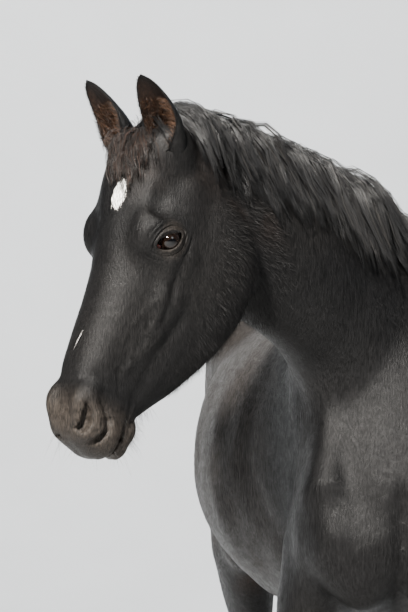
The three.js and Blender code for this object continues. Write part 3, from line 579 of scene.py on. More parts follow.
def animal(p, openings=True):
    """Distance of points from the surface of the coat: negative inside."""
    f = Field(p)
    add_trunk(f)
    mirrored = p.copy()
    mirrored[:, 0] = np.abs(p[:, 0])
    f.p = mirrored
    add_muscles(f)
    f.p = p
    add_neck(f)
    q = to_head(p)
    index = np.nonzero((q[:, 0] > -200) & (q[:, 0] < 760) & (q[:, 1] > -460)
                       & (q[:, 1] < 160) & (np.abs(q[:, 2]) < 260))[0]
    if len(index):
        g = Field(q[index], f.d[index])
        u, v, w = g.p.T
        top, bottom, half, wide, above, below = columns(SKULL, u)
        d = egg(w, v, half, top, bottom, wide, above, below)
        g.blend(np.arange(len(index)), capped(d, past_ends(u, SKULL[0, 0], SKULL[-1, 0])), 24)
        g.p = np.stack([u, v, np.abs(w)], 1)
        add_face(g)
        if openings:
            add_face_openings(g, w < 0)
        f.d[index] = g.d
    mirrored[:, 1] += step_at(p[:, 0], p[:, 1], p[:, 2])
    f.p = mirrored
    add_legs(f)
    return f.d


# ---------------------------------------------------------------- the skin's surface

HEAD_REACH = 330.0                          # mm round the head's middle with the finest skin
HEAD_STEP, BODY_STEP = 0.31, 1.22           # sizes of the skin's cells there, against GRID_STEP
GRID_STEP = 16.3
# Places with smaller cells: centre in the head's frame, reach, how much smaller.
CLOSE = [
    ([191, -71, 98], 44, 0.60), ([191, -71, -98], 44, 0.60),    # eyes
    ([531, -34, 50], 50, 0.70), ([531, -34, -50], 50, 0.70),    # nostrils
    ([530, -108, 0], 66, 0.55),                                 # lips
]
LEG_STEP = 0.44                             # how much smaller the cells are at the legs
LEG_PLACES = [(-560, 170), (680, 190)]      # y of the legs, reach


def spread(g):
    """Where the points of the even grid lie on the animal, close together where it is fine."""
    q = g - HEAD_CENTRE
    r = np.linalg.norm(q, axis=1) + 1e-9
    inner, run = HEAD_REACH / HEAD_STEP, 500.0
    k = np.clip((r - inner) / run, 0.0, 1.0)
    grown = HEAD_STEP * np.minimum(r, inner + run)
    grown += (BODY_STEP - HEAD_STEP) * run * (k ** 3 - k ** 4 / 2)
    grown += BODY_STEP * np.maximum(r - inner - run, 0.0)
    p = HEAD_CENTRE + q * (grown / r)[:, None]
    low = smooth_step((900.0 - p[:, 2]) / 200.0)
    p[:, 0] *= 1.0 - LEG_STEP * low
    pull = sum((p[:, 1] - c) * np.exp(-((p[:, 1] - c) / reach) ** 2) for c, reach in LEG_PLACES)
    p[:, 1] -= LEG_STEP * low * pull
    for centre, reach, smaller in CLOSE:
        q = p - head_point(centre)
        p -= q * (smaller * np.exp(-(q * q).sum(1) / reach ** 2))[:, None]
    return p


def skin_distance(p):
    """Distance from the skin, which lies under the coat."""
    depth = FACE_COAT + (COAT - FACE_COAT) * smooth_step((head_away(p) - 300.0) / 150.0)
    return animal(p) + depth - detail(p)


BLOCK = 8                                   # cells along each side of a block of the even grid
CORNERS = np.array(list(np.ndindex(2, 2, 2)))
EDGES = [(i, j) for i in range(8) for j in range(i + 1, 8)
         if np.abs(CORNERS[i] - CORNERS[j]).sum() == 1]


def grid_places(shape):
    """Every place of a grid, in whole numbers."""
    return np.stack(np.meshgrid(*[np.arange(n) for n in shape], indexing="ij"), -1).reshape(-1, 3)


def cells_near(distance, low, step, blocks):
    """The cells of each block that the surface may pass through."""
    cells = grid_places(blocks)
    middle = spread(low + (cells + 0.5) * BLOCK * step)
    size = np.zeros(len(cells))
    for corner in CORNERS:
        reach = spread(low + (cells + corner) * BLOCK * step) - middle
        size = np.maximum(size, np.linalg.norm(reach, axis=1))
    cells = cells[np.abs(distance(middle)) < size * 1.35 + 8.0]
    return (cells[:, None] * BLOCK + grid_places([BLOCK] * 3)).reshape(-1, 3)


def grid_values(distance, low, step, cells, shape):
    """The distance at every corner of the cells, and 1 at the rest of the grid."""
    used = np.zeros(shape, bool)
    for corner in CORNERS:
        used[tuple((cells + corner).T)] = True
    value = np.full(shape, 1.0, np.float32)
    value[used] = distance(spread(low + np.argwhere(used) * step))
    return value


def crossings(cells, at):
    """The middle of the places where the surface crosses each cell's edges."""
    total, count = np.zeros((len(cells), 3)), np.zeros(len(cells))
    for i, j in EDGES:
        m = (at[:, i] < 0) != (at[:, j] < 0)
        t = at[m, i] / (at[m, i] - at[m, j])
        total[m] += CORNERS[i] + (CORNERS[j] - CORNERS[i]) * t[:, None]
        count[m] += 1
    return cells + total / count[:, None]


def faces_between(cells, value):
    """Faces that join the four cells round each edge that the surface crosses, facing outwards."""
    index = np.full(value.shape, -1, np.int64)
    index[tuple(cells.T)] = np.arange(len(cells))
    faces = []
    axes = np.eye(3, dtype=int)
    for axis in range(3):
        along, first, second = [axes[(axis + j) % 3] for j in range(3)]
        g = cells[(cells @ first > 0) & (cells @ second > 0)]
        start, end = value[tuple(g.T)] < 0, value[tuple((g + along).T)] < 0
        g, outwards = g[start != end], start[start != end]
        around = (0 * first, -first, -first - second, -second)
        quad = np.stack([index[tuple((g + off).T)] for off in around], 1)
        quad[~outwards] = quad[~outwards][:, ::-1]
        faces.append(quad[(quad >= 0).all(1)])
    return np.concatenate(faces)


def surface(distance, low, high, step):
    """Corners and four-sided faces of the surface where distance is nought."""
    low = np.asarray(low, float)
    blocks = np.ceil((np.asarray(high, float) - low) / step / BLOCK).astype(int)
    cells = cells_near(distance, low, step, blocks)
    value = grid_values(distance, low, step, cells, blocks * BLOCK + 1)
    at = np.stack([value[tuple((cells + corner).T)] for corner in CORNERS], 1)
    mixed = (at < 0).any(1) & ~(at < 0).all(1)
    cells, at = cells[mixed], at[mixed]
    return spread(low + crossings(cells, at) * step), faces_between(cells, value)


def slope(distance, p, e=0.8):
    """The distance at points and its gradient."""
    here = distance(p)
    return here, np.stack([distance(p + d) - here for d in np.eye(3) * e], 1) / e


def settle(distance, p):
    """Moves points onto the surface, least where the cells are small."""
    here, g = slope(distance, p, 0.5)
    size = np.linalg.norm(g, axis=1)[:, None] + 1e-6
    cap = np.full((len(p), 1), 4.0)
    cap[head_away(p) < 420] = 1.2
    for centre, reach, _ in CLOSE:
        cap[np.linalg.norm(p - head_point(centre), axis=1) < reach] = 0.35
    return p - np.clip(here[:, None] / size, -cap, cap) * g / size


def largest_part(verts, faces):
    """Only the largest connected part of a mesh."""
    label = np.arange(len(verts))
    while True:
        least = label[faces].min(1)
        new = label.copy()
        np.minimum.at(new, faces.ravel(), np.repeat(least, faces.shape[1]))
        new = new[new]
        if (new == label).all():
            break
        label = new
    names, sizes = np.unique(label, return_counts=True)
    keep = label == names[sizes.argmax()]
    number = np.cumsum(keep) - 1
    return verts[keep], number[faces[keep[faces[:, 0]]]]


def ring_quads(rows, count):
    """Faces between rows of rings that each have count points."""
    i, j = np.meshgrid(np.arange(rows - 1), np.arange(count), indexing="ij")
    first, second = i * count + j, i * count + (j + 1) % count
    return np.stack([first, second, second + count, first + count], -1).reshape(-1, 4)


def fan(tip, start, count, flipped=False):
    """Triangles from a point to the ring of count points that begins at start."""
    here, ahead = start + np.arange(count), start + (np.arange(count) + 1) % count
    rim = (ahead, here) if flipped else (here, ahead)
    return np.stack([np.full(count, tip), *rim], 1)


# ---------------------------------------------------------------- from mm to the frame

low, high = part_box("eye_left")
SHIFT = (np.array(low) + np.array(high)) * 500.0 - head_point(EYE)


def placed(p):
    """Points in mm in the animal's axes, as metres in the frame."""
    return (np.asarray(p) + SHIFT) / 1000.0


def linked(name, data):
    """An object for data, put in the scene."""
    made = bpy.data.objects.new(name, data)
    bpy.context.scene.collection.objects.link(made)
    return made


def mesh_object(name, verts, faces, material_list, node_names, smooth=True):
    """A piece from points in mm and faces with one number of corners, or a list of such faces."""
    groups = faces if isinstance(faces, list) else [faces]
    groups = [np.asarray(group, np.int32) for group in groups if len(group)]
    mesh = bpy.data.meshes.new(name)
    mesh.vertices.add(len(verts))
    mesh.vertices.foreach_set("co", placed(verts).astype(np.float32).ravel())
    loops = np.concatenate([group.ravel() for group in groups])
    sizes = np.concatenate([np.full(len(group), group.shape[1]) for group in groups])
    mesh.loops.add(len(loops))
    mesh.loops.foreach_set("vertex_index", loops)
    mesh.polygons.add(len(sizes))
    starts = np.concatenate([[0], np.cumsum(sizes)[:-1]]).astype(np.int32)
    mesh.polygons.foreach_set("loop_start", starts)
    mesh.update(calc_edges=True)
    mesh.validate()
    mesh.polygons.foreach_set("use_smooth", np.full(len(mesh.polygons), smooth))
    piece = linked(name, mesh)
    for material in material_list:
        mesh.materials.append(material)
    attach(piece, "root")
    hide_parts(*node_names)
    return piece


# ---------------------------------------------------------------- materials

def new_material(name):
    material = bpy.data.materials.new(name)
    material.use_nodes = True
    tree = material.node_tree
    return material, tree, tree.nodes["Principled BSDF"]


def set_input(tree, socket, value):
    """Links a value that is a socket, and sets any other."""
    if isinstance(value, bpy.types.NodeSocket):
        tree.links.new(value, socket)
    else:
        socket.default_value = value


def finish_shader(tree, shader, colour, roughness, specular=None, normal=None):
    """Sets or links the shader's inputs; those that are None stay as they are."""
    inputs = {"Base Color": colour, "Roughness": roughness, "Specular IOR Level": specular,
              "Normal": normal}
    for key, value in inputs.items():
        if value is not None:
            set_input(tree, shader.inputs[key], value)


def node(tree, kind, inputs=None, **settings):
    """A node with its settings, and its inputs by name or number: values, or sockets to link."""
    made = tree.nodes.new(kind)
    for key, value in settings.items():
        setattr(made, key, value)
    for key, value in (inputs or {}).items():
        set_input(tree, made.inputs[key], value)
    return made


def object_place(tree):
    return node(tree, "ShaderNodeTexCoord").outputs["Object"]


def ramp(tree, fac, stops):
    """A colour ramp from (place, colour) stops."""
    made = node(tree, "ShaderNodeValToRGB", {"Fac": fac})
    elements = made.color_ramp.elements
    while len(elements) < len(stops):
        elements.new(0.5)
    for element, (place, colour) in zip(elements, stops):
        element.position = place
        element.color = (*colour, 1)
    return made.outputs["Color"]


def span(tree, value, low, high, to_low=0.0, to_high=1.0):
    """A smooth step of a value from low to high."""
    inputs = {"Value": value, "From Min": low, "From Max": high, "To Min": to_low, "To Max": to_high}
    made = node(tree, "ShaderNodeMapRange", inputs, interpolation_type="SMOOTHSTEP")
    return made.outputs["Result"]


def calculate(tree, operation, first, second=None):
    inputs = {0: first} if second is None else {0: first, 1: second}
    return node(tree, "ShaderNodeMath", inputs, operation=operation).outputs[0]


def mix_value(tree, fac, first, second):
    return node(tree, "ShaderNodeMix", {0: fac, 2: first, 3: second}).outputs[0]


def mix_colour(tree, fac, first, second, blend="MIX"):
    colours = [value if isinstance(value, bpy.types.NodeSocket) else (*value, 1)
               for value in (first, second)]
    return node(tree, "ShaderNodeMix", {0: fac, 6: colours[0], 7: colours[1]}, data_type="RGBA",
                blend_type=blend).outputs[2]


def lit(tree, colour, light):
    """A colour times a brightness."""
    grey = node(tree, "ShaderNodeCombineColor", {0: light, 1: light, 2: light}).outputs[0]
    return mix_colour(tree, 1.0, colour, grey, "MULTIPLY")


def bumped(tree, height, strength, distance, normal=None):
    """The normal of a surface with a height on it, and on any bumps that it has already."""
    inputs = {"Height": height, "Strength": strength, "Distance": distance}
    if normal is not None:
        inputs["Normal"] = normal
    return node(tree, "ShaderNodeBump", inputs).outputs[0]


def noise(tree, vector, scale, detail=4.0, roughness=0.55):
    return node(tree, "ShaderNodeTexNoise", {"Vector": vector, "Scale": scale, "Detail": detail,
                                             "Roughness": roughness}).outputs["Fac"]


def stretched(tree, vector, along, across, lengthwise):
    """Coordinates squeezed so that noise runs in fine lines along a direction."""
    turn = Vector(along).to_track_quat("Z", "Y").inverted().to_euler()
    return node(tree, "ShaderNodeMapping", {"Vector": vector, "Rotation": turn,
                                            "Scale": (across, across, lengthwise)},
                vector_type="POINT").outputs["Vector"]


def attribute(tree, name):
    return node(tree, "ShaderNodeAttribute", attribute_name=name).outputs["Fac"]


# Linear colours.
BLACK_COAT = (0.0038, 0.0037, 0.0038)
BROWN_COAT = (0.0095, 0.0060, 0.0045)
# Painted sunlit sheen: the barrel's lighter, browner tone stands in for sunlight and gloss on the
# black coat.
BARREL_PAINTED_SHEEN = (0.0200, 0.0172, 0.0155)
DUSTY_COAT = (0.0068, 0.0063, 0.0060)
MUZZLE_SKIN = (0.022, 0.0182, 0.0152)
EAR_INSIDE = (0.0085, 0.0046, 0.0030)
STAR_WHITE = (0.72, 0.70, 0.66)


def coat_colour(tree, place):
    """The coat's colour: black, browner and dustier in patches, with a painted sunlit sheen that makes
    the barrel lighter and browner, by the skin's own marks.
    """
    large = noise(tree, place, 2.6, 3.0)
    small = noise(tree, place, 11.0, 4.0)
    dust = calculate(tree, "MULTIPLY", span(tree, large, 0.45, 0.68), 0.55)
    colour = mix_colour(tree, dust, BLACK_COAT, DUSTY_COAT)
    # Painted sunlit sheen: the barrel is mixed towards a lighter, browner colour.
    colour = mix_colour(tree, attribute(tree, "barrel_painted_sheen"), colour, BARREL_PAINTED_SHEEN)
    patch = calculate(tree, "MULTIPLY", span(tree, small, 0.42, 0.62), attribute(tree, "brown"))
    colour = mix_colour(tree, patch, colour, BROWN_COAT)
    colour = mix_colour(tree, attribute(tree, "muzzle"), colour, MUZZLE_SKIN)
    return mix_colour(tree, attribute(tree, "ear"), colour, EAR_INSIDE)


# The star: its centre and half sizes in the head's frame and its lean.
STAR_CENTRE = [130.0, 10.0, 20.0]
STAR_HALF = [27.0, 26.0, 17.5]              # down the face, into it, across
STAR_LEAN = -6.0


def star_turn():
    lean = math.radians(STAR_LEAN)
    long = HEAD[0] * math.cos(lean) + HEAD[2] * math.sin(lean)
    wide = HEAD[2] * math.cos(lean) - HEAD[0] * math.sin(lean)
    deep = np.cross(wide, long)
    return Matrix([long.tolist(), deep.tolist(), wide.tolist()]).transposed()


def star_away(tree, place):
    """How far places are from the star's centre, counted in its half sizes."""
    inputs = {"Vector": place, "Location": placed(head_point(STAR_CENTRE)),
              "Rotation": star_turn().to_euler(), "Scale": np.array(STAR_HALF) / 1000.0}
    star = node(tree, "ShaderNodeMapping", inputs, vector_type="TEXTURE")
    return node(tree, "ShaderNodeVectorMath", {0: star.outputs[0]}, operation="LENGTH").outputs[1]


def make_coat_skin():
    material, tree, shader = new_material("black coat over skin")
    place = object_place(tree)
    # The star: an upright patch on the forehead with a hairy edge.
    ragged = noise(tree, stretched(tree, place, tuple(HEAD[0]), 420, 90), 1.0, 3.0)
    edge = calculate(tree, "ADD", star_away(tree, place), calculate(tree, "MULTIPLY", ragged, 1.3))
    white = span(tree, edge, 1.68, 1.54)
    colour = mix_colour(tree, white, coat_colour(tree, place), STAR_WHITE)
    # Fine lines of short hair: down the face, back along the body and down the legs.
    ways = [(tuple(HEAD[0] * 0.9 - HEAD[1] * 0.4), 430, 75), ((0.0, 0.72, -0.69), 330, 40),
            ((0.0, 0.1, -0.99), 430, 60)]
    face, back_down, down = [noise(tree, stretched(tree, place, *way), 1.0, 6.0, 0.72)
                             for way in ways]
    lines = mix_value(tree, attribute(tree, "on_leg"), back_down, down)
    lines = mix_value(tree, attribute(tree, "on_head"), lines, face)
    lumps = noise(tree, place, 60.0, 4.0)
    pores = noise(tree, place, 900.0, 2.0)
    normal = bumped(tree, lumps, 0.25, 0.0012)
    normal = bumped(tree, lines, 0.9, 0.0019, normal)
    normal = bumped(tree, pores, attribute(tree, "muzzle"), 0.0006, normal)
    rough = span(tree, lumps, 0.3, 0.7, 0.36, 0.47)
    rough = calculate(tree, "ADD", rough, span(tree, lines, 0.3, 0.7, 0.08, -0.08))
    colour = lit(tree, colour, span(tree, lines, 0.34, 0.68, 0.2, 2.4))
    finish_shader(tree, shader, colour, rough, 0.15, normal)
    return material


def make_hair(name, colours, roughness, specular, root=0.6):
    """Hair that is darker at its roots, with a shade of its own for each."""
    material, tree, shader = new_material(name)
    colour = ramp(tree, attribute(tree, "shade"), colours)
    colour = lit(tree, colour, span(tree, attribute(tree, "along"), 0.0, 0.45, root, 1.0))
    streak = noise(tree, object_place(tree), 700.0, 2.0)
    rough = span(tree, streak, 0.3, 0.7, roughness - 0.07, roughness + 0.08)
    finish_shader(tree, shader, colour, rough, specular)
    return material


def make_tuft():
    """The short coat's hairs: the skin's colours, kept in each tuft, with a gloss of their own."""
    material, tree, shader = new_material("short coat")
    shade = attribute(tree, "shade")
    colour = coat_colour(tree, object_place(tree))
    colour = mix_colour(tree, attribute(tree, "star"), colour, STAR_WHITE)
    pale = calculate(tree, "MULTIPLY", calculate(tree, "POWER", shade, 3.0), 2.4)
    light = calculate(tree, "MULTIPLY", calculate(tree, "ADD", pale, 0.8),
                      span(tree, attribute(tree, "along"), 0.0, 0.7, 0.8, 1.6))
    finish_shader(tree, shader, lit(tree, colour, light), span(tree, shade, 0.0, 1.0, 0.42, 0.58),
                  0.13)
    return material


PUPIL_HALF = (10.0, 6.0)                    # along the lids, down
IRIS_EDGE = (14.5, 16.5)                    # where the iris turns into its dark rim
WHITE_EDGE = (19.5, 22.0)                   # where that turns into the white


def eye_axes(side):
    return (EYE_AXES * [1, 1, side]) @ HEAD


def make_eye(side):
    """A dark wet eye: a brown ring round a wide black pupil that lies level."""
    material, tree, shader = new_material("wet eye " + ("left" if side > 0 else "right"))
    place = object_place(tree)
    turn = Matrix(eye_axes(side).tolist()).transposed()
    if turn.determinant() < 0:
        turn.col[0] = -turn.col[0]
    inputs = {"Vector": place, "Location": placed(head_point(EYE * [1, 1, side])),
              "Rotation": turn.to_euler(), "Scale": (0.001, 0.001, 0.001)}
    pupil = node(tree, "ShaderNodeMapping", inputs, vector_type="TEXTURE").outputs[0]
    along, down, _ = node(tree, "ShaderNodeSeparateXYZ", {0: pupil}).outputs

    def away(long, tall):
        """Distance from the eye's middle, counted in a half length and a half height."""
        squares = [calculate(tree, "POWER", calculate(tree, "DIVIDE", value, size), 2.0)
                   for value, size in ((along, long), (down, tall))]
        return calculate(tree, "SQRT", calculate(tree, "ADD", *squares))

    radius = away(1.0, 1.0)
    fibres = noise(tree, pupil, 0.9, 4.0)
    iris = ramp(tree, fibres, [(0.3, (0.003, 0.0018, 0.0013)), (0.7, (0.011, 0.0056, 0.0032))])
    colour = mix_colour(tree, span(tree, away(*PUPIL_HALF), 0.88, 1.08), (0.0012, 0.0012, 0.0016),
                        iris)
    colour = mix_colour(tree, span(tree, radius, *IRIS_EDGE), colour, (0.012, 0.008, 0.007))
    colour = mix_colour(tree, span(tree, radius, *WHITE_EDGE), colour, (0.09, 0.06, 0.052))
    film = noise(tree, place, 240.0, 2.0)
    finish_shader(tree, shader, colour, 0.06, 0.42, bumped(tree, film, 0.04, 0.0003))
    return material


def make_flesh():
    material, tree, shader = new_material("wet flesh of the eye's corner")
    spots = noise(tree, object_place(tree), 500.0, 3.0)
    colour = ramp(tree, spots, [(0.35, (0.05, 0.012, 0.010)), (0.65, (0.30, 0.075, 0.06))])
    finish_shader(tree, shader, colour, 0.22, normal=bumped(tree, spots, 0.4, 0.0004))
    return material


def make_horn():
    """Dark hoof horn: growth rings round the wall, fine fibres down it, dust near the ground."""
    material, tree, shader = new_material("hoof horn")
    place = object_place(tree)
    fibres = noise(tree, stretched(tree, place, (0.0, -0.4, -0.9), 700, 25), 1.0, 3.0)
    rings = noise(tree, stretched(tree, place, (0.0, -0.5, 0.85), 12, 260), 1.0, 3.0)
    dust = noise(tree, place, 40.0, 5.0)
    colour = ramp(tree, calculate(tree, "MULTIPLY", fibres, calculate(tree, "ADD", rings, 0.5)),
                  [(0.25, (0.009, 0.0078, 0.0070)), (0.75, (0.036, 0.030, 0.026))])
    colour = mix_colour(tree, span(tree, dust, 0.5, 0.8, 0.0, 0.4), colour, (0.075, 0.066, 0.057))
    normal = bumped(tree, fibres, 0.3, 0.0004, bumped(tree, rings, 0.45, 0.001))
    finish_shader(tree, shader, colour, span(tree, dust, 0.3, 0.8, 0.36, 0.62), normal=normal)
    return material


coat_skin = make_coat_skin()
tuft_material = make_tuft()
hair_material = make_hair("long black hair", [(0.0, (0.006, 0.0060, 0.0064)),
                                              (0.7, (0.012, 0.012, 0.0125)),
                                              (0.94, (0.023, 0.0223, 0.0223)),
                                              (1.0, (0.042, 0.038, 0.034))], 0.40, 0.4)
forelock_material = make_hair("forelock hair", [(0.0, (0.006, 0.0055, 0.0055)),
                                                (0.7, (0.013, 0.0105, 0.0090)),
                                                (1.0, (0.045, 0.022, 0.014))], 0.45, 0.32)
ear_hair_material = make_hair("brown ear hair", [(0.0, (0.010, 0.0070, 0.0055)),
                                                 (0.6, (0.050, 0.024, 0.012)),
                                                 (1.0, (0.16, 0.075, 0.036))], 0.4, 0.5)
white_hair_material = make_hair("white hair", [(0.0, (0.55, 0.53, 0.50)), (1.0, (0.80, 0.79, 0.76))],
                                0.45, 0.4, 0.9)
eye_material = {1: make_eye(1), -1: make_eye(-1)}
flesh_material = make_flesh()
hoof_material = make_horn()


# ---------------------------------------------------------------- ears

EAR_LENGTH = 158.0
EAR_ROOT = np.array([36.0, -52.0, 66.0])
EAR_AXIS = np.array([-0.70, 0.69, 0.17])
EAR_OPENING = {1: [0.72, 0.62, 0.26], -1: [0.74, 0.64, -0.06]}   # the way the cup looks
EAR_STEPS = [-0.25, 0, 0.2, 0.4, 0.6, 0.8, 0.93, 1]
EAR_HALF = [12, 26, 35, 38, 35, 26, 14, 1.2]     # half width of the cup
EAR_DEPTH = [12, 24, 28, 26, 20, 13, 7, 1.0]     # from its axis to its back
EAR_WRAP = [176, 172, 140, 108, 92, 86, 84, 80]  # degrees from its back to its edge
EAR_WALL = [7, 6, 4.5, 4, 3.6, 3.2, 2.6, 1.4]


def ear_frame(side):
    flip = np.array([1, 1, side])
    axis = unit(EAR_AXIS * flip) @ HEAD
    face = np.array(EAR_OPENING[side]) * flip @ HEAD
    opening = unit(face - axis * (face @ axis))
    return axis, opening, np.cross(axis, opening), POLL + (EAR_ROOT * flip) @ HEAD


def ear_point(side, t, k, inner):
    """A point of the ear, t up it and k from edge to edge, -1 to 1, outside or inside the cup."""
    axis, opening, across, root = ear_frame(side)
    half, depth, wrap, wall = [curve(t, EAR_STEPS, row)
                               for row in (EAR_HALF, EAR_DEPTH, EAR_WRAP, EAR_WALL)]
    angle = np.radians(wrap) * k
    edge = np.abs(k) ** 6
    offset = np.where(inner, wall * (1 - 0.75 * edge), wall * 0.2 * edge)
    back = -np.cos(angle) * (depth - offset)
    out = np.sin(angle) * (half - offset)
    tip = np.clip(t, 0, 1)
    inwards = HEAD[2] * -side
    curl = opening * (10 * tip ** 2)[:, None] + inwards * (9 * tip ** 3)[:, None]
    # The edges roll outwards a little near the root and wave gently above it.
    roll = 3.0 * edge * np.sin(3.0 * np.pi * tip + side) * (1 - tip)
    centre = root + axis * (EAR_LENGTH * t)[:, None] + curl
    return centre + opening * (back + roll)[:, None] + across * out[:, None]


def ear_mesh(side, rows=44, across=31):
    """The ear as a closed cup: rings that run round its outside and back along its inside."""
    t = np.linspace(-0.25, 1.0, rows)
    k = np.linspace(-1.0, 1.0, across)
    tt = np.repeat(t, 2 * across)
    kk = np.tile(np.concatenate([k, k[::-1]]), rows)
    inner = np.tile(np.repeat([False, True], across), rows)
    verts = ear_point(side, tt, kk, inner)
    n = 2 * across
    # Caps: the strip across the tip, and the one sunk in the head.
    m = np.arange(across - 1)
    caps = []
    for row, turn in ((0, -1), (rows - 1, 1)):
        strip = np.stack([m, m + 1, n - 2 - m, n - 1 - m], 1) + row * n
        caps.append(strip if turn > 0 else strip[:, ::-1])
    faces = np.concatenate([ring_quads(rows, n)] + caps)
    inside = inner * smooth_step((1 - np.abs(kk)) * 5) * smooth_step((1 - tt) * 6)
    return verts, faces, inside * smooth_step((tt + 0.1) * 6)


def outwards(verts, faces):
    """The faces turned so that a closed mesh's normals point out of it."""
    a, b, c, d = [verts[faces[:, j]] for j in range(4)]
    volume = (np.cross(a, b) * c).sum() + (np.cross(a, c) * d).sum()
    return faces if volume > 0 else faces[:, ::-1]


# ---------------------------------------------------------------- eyelids

# Rings of the lids: how far out from the slit, how far in from the surface, and where on the
# way down to the eyeball. Then creases: distance from the slit, width, depth above and below.
LID_RINGS = [0.0, 0.0, 0.0, 0.15, 0.5, 1.1, 1.9, 3.0, 4.4, 5.6, 6.5, 7.2, 7.9, 8.7, 9.8, 10.8, 11.8,
             12.8, 14.0, 15.6, 17.4, 19.4, 21.5, 24.0]
LID_SINK = [6.0, 3.4, 1.6, 0.7, 0.25, 0.05]
LID_CREASES = [(7.4, 1.3, 2.9, 0.3), (11.3, 1.7, 0.2, 2.4), (13.6, 1.8, 1.0, 0.2),
               (16.5, 2.4, 0.3, 1.1)]
LID_POINTS = 128


def last_place(low, high, tries, holds):
    """The farthest values between low and high at which holds is still true."""
    for _ in range(tries):
        middle = (low + high) / 2
        true = holds(middle)
        low, high = np.where(true, middle, low), np.where(true, high, middle)
    return low


def lid_mesh(side):
    """Both lids of an eye in one ring round the slit, its rim turned down to the eyeball and
    its outer edge sunk in the skin."""
    turn = np.linspace(0, 2 * np.pi, LID_POINTS, endpoint=False)
    # The slit's corners get as many points as its middle.
    turn = turn - 0.35 * np.sin(2 * turn)
    ring = np.asarray(LID_RINGS)[:, None]
    size = (len(ring), LID_POINTS)
    r = last_place(np.zeros(size), np.full(size, 70.0), 30,
                   lambda r: lid_slit(r * np.cos(turn), r * np.sin(turn)) <= ring)
    a, s = r * np.cos(turn), r * np.sin(turn)
    flat = np.stack([a.ravel(), s.ravel()], 1)

    def inside(n):
        """Whether points n out from the plane of the eye are in the flesh."""
        q = EYE + np.concatenate([flat, n[:, None]], 1) @ EYE_AXES
        return animal(head_point(q), openings=False) + FACE_COAT < 0

    n = last_place(np.full(a.size, -25.0), np.full(a.size, 45.0), 20, inside).reshape(a.shape)
    ahead = smooth_step(0.5 - s / 10.0)
    behind = smooth_step(0.5 + a / 16.0)
    for at, wide, over, under in LID_CREASES:
        depth = over * ahead + under * (1 - ahead) * (0.35 + 0.65 * behind)
        n -= depth * np.exp(-((ring - at) / wide) ** 2)
    n += 0.6 * np.exp(-((ring - 3.2) / 2.2) ** 2)
    n += 0.35 * smooth_step(ring / 2) - 1.9 * smooth_step((ring - 19.0) / 4.5)
    sink = np.zeros(len(ring))
    sink[:len(LID_SINK)] = LID_SINK
    n -= sink[:, None]
    q = np.stack([a, s, n], -1).reshape(-1, 3) @ EYE_AXES + EYE
    q[:, 2] *= side
    quads = ring_quads(len(ring), LID_POINTS)
    verts = head_point(q)
    corner = verts[quads]
    normal = np.cross(corner[:, 1] - corner[:, 0], corner[:, 3] - corner[:, 0]).sum(0)
    out = (EYE_OUT * [1, 1, side]) @ HEAD
    return verts, quads if normal @ out > 0 else quads[:, ::-1]


# ---------------------------------------------------------------- the skin

GRID_LOW, GRID_HIGH = (-1130, -1480, -820), (1260, 1720, 2820)   # corners of the even grid
skin_verts, skin_faces = surface(skin_distance, GRID_LOW, GRID_HIGH, GRID_STEP)
skin_verts, skin_faces = largest_part(skin_verts, skin_faces)
skin_verts = settle(skin_distance, skin_verts)

body_verts, body_faces = skin_verts, skin_faces
ear_inside = np.zeros(len(skin_verts))
for side in (1, -1):
    ear_verts, ear_faces, inside = ear_mesh(side)
    ear_faces = outwards(ear_verts, ear_faces)
    body_faces = np.concatenate([body_faces, ear_faces + len(body_verts)])
    body_verts = np.concatenate([body_verts, ear_verts])
    ear_inside = np.concatenate([ear_inside, inside])
for side in (1, -1):
    lid_verts, lid_faces = lid_mesh(side)
    body_faces = np.concatenate([body_faces, lid_faces + len(body_verts)])
    body_verts = np.concatenate([body_verts, lid_verts])
ear_inside = np.concatenate([ear_inside, np.zeros(len(body_verts) - len(ear_inside))])

FLESH = ["trunk", "neck", "head", "ear_left", "ear_right", "leg_fore_left", "leg_fore_right",
         "leg_hind_left", "leg_hind_right"]
skin = mesh_object("skin", body_verts, body_faces, [coat_skin], FLESH)


def pair_away(q, spot):
    """How far places in the head's frame are from a spot or its mirror image."""
    return np.minimum(*[np.linalg.norm(q - np.array(spot) * [1, 1, s], axis=1) for s in (1, -1)])


MUZZLE_FROM, MUZZLE_RUN = 466, 62           # where down the face the bare muzzle begins
EYE_BARE = 42                               # how far round the eye the hair is thin
BELLY_FROM, BELLY_TO = 800, 1120            # heights of the browner belly
BARREL_BACK, BARREL_UP = -420, 820          # where the barrel's painted sheen begins, along and up; the browner belly starts at the same place along
LEG_TOP = 840                               # height at which the legs' coat begins


def skin_marks(p, ear=None):
    """The skin's marks at points: how far each is muzzle, ear, brown coat, painted sunlit sheen on the
    barrel, head and leg.
    """
    q = to_head(p)
    u, v, w = q.T
    head = smooth_step((300 - head_away(p)) / 60 + 0.6)
    muzzle = smooth_step((u - MUZZLE_FROM + 0.12 * v) / MUZZLE_RUN) * head
    bare = 0.45 * smooth_step((EYE_BARE - pair_away(q, EYE)) / 14)
    low = smooth_step((BELLY_TO - p[:, 2]) / 180) * smooth_step((p[:, 2] - BELLY_FROM) / 60)
    belly = low * smooth_step((p[:, 1] - BARREL_BACK) / 120) * smooth_step((560 - p[:, 1]) / 160)
    temple = 0.8 * np.exp(-(((u - 70) / 45) ** 2 + ((np.abs(w) - 50) / 26) ** 2)) * head
    return {
        "muzzle": np.maximum(muzzle, bare),
        "ear": np.zeros(len(p)) if ear is None else ear,
        "brown": np.maximum(belly, temple),
        # Painted sunlit sheen on the barrel, behind the shoulder and above the belly.
        "barrel_painted_sheen": (smooth_step((p[:, 1] - BARREL_BACK) / 160)
                   * smooth_step((p[:, 2] - BARREL_UP) / 200) * 0.9),
        "on_head": head,
        "on_leg": smooth_step((LEG_TOP - p[:, 2]) / 120),
    }


def keep_marks(piece, marks):
    for key, value in marks.items():
        layer = piece.data.attributes.new(key, "FLOAT", "POINT")
        layer.data.foreach_set("value", value.astype(np.float32))


keep_marks(skin, skin_marks(body_verts, ear_inside))


# ---------------------------------------------------------------- eyes

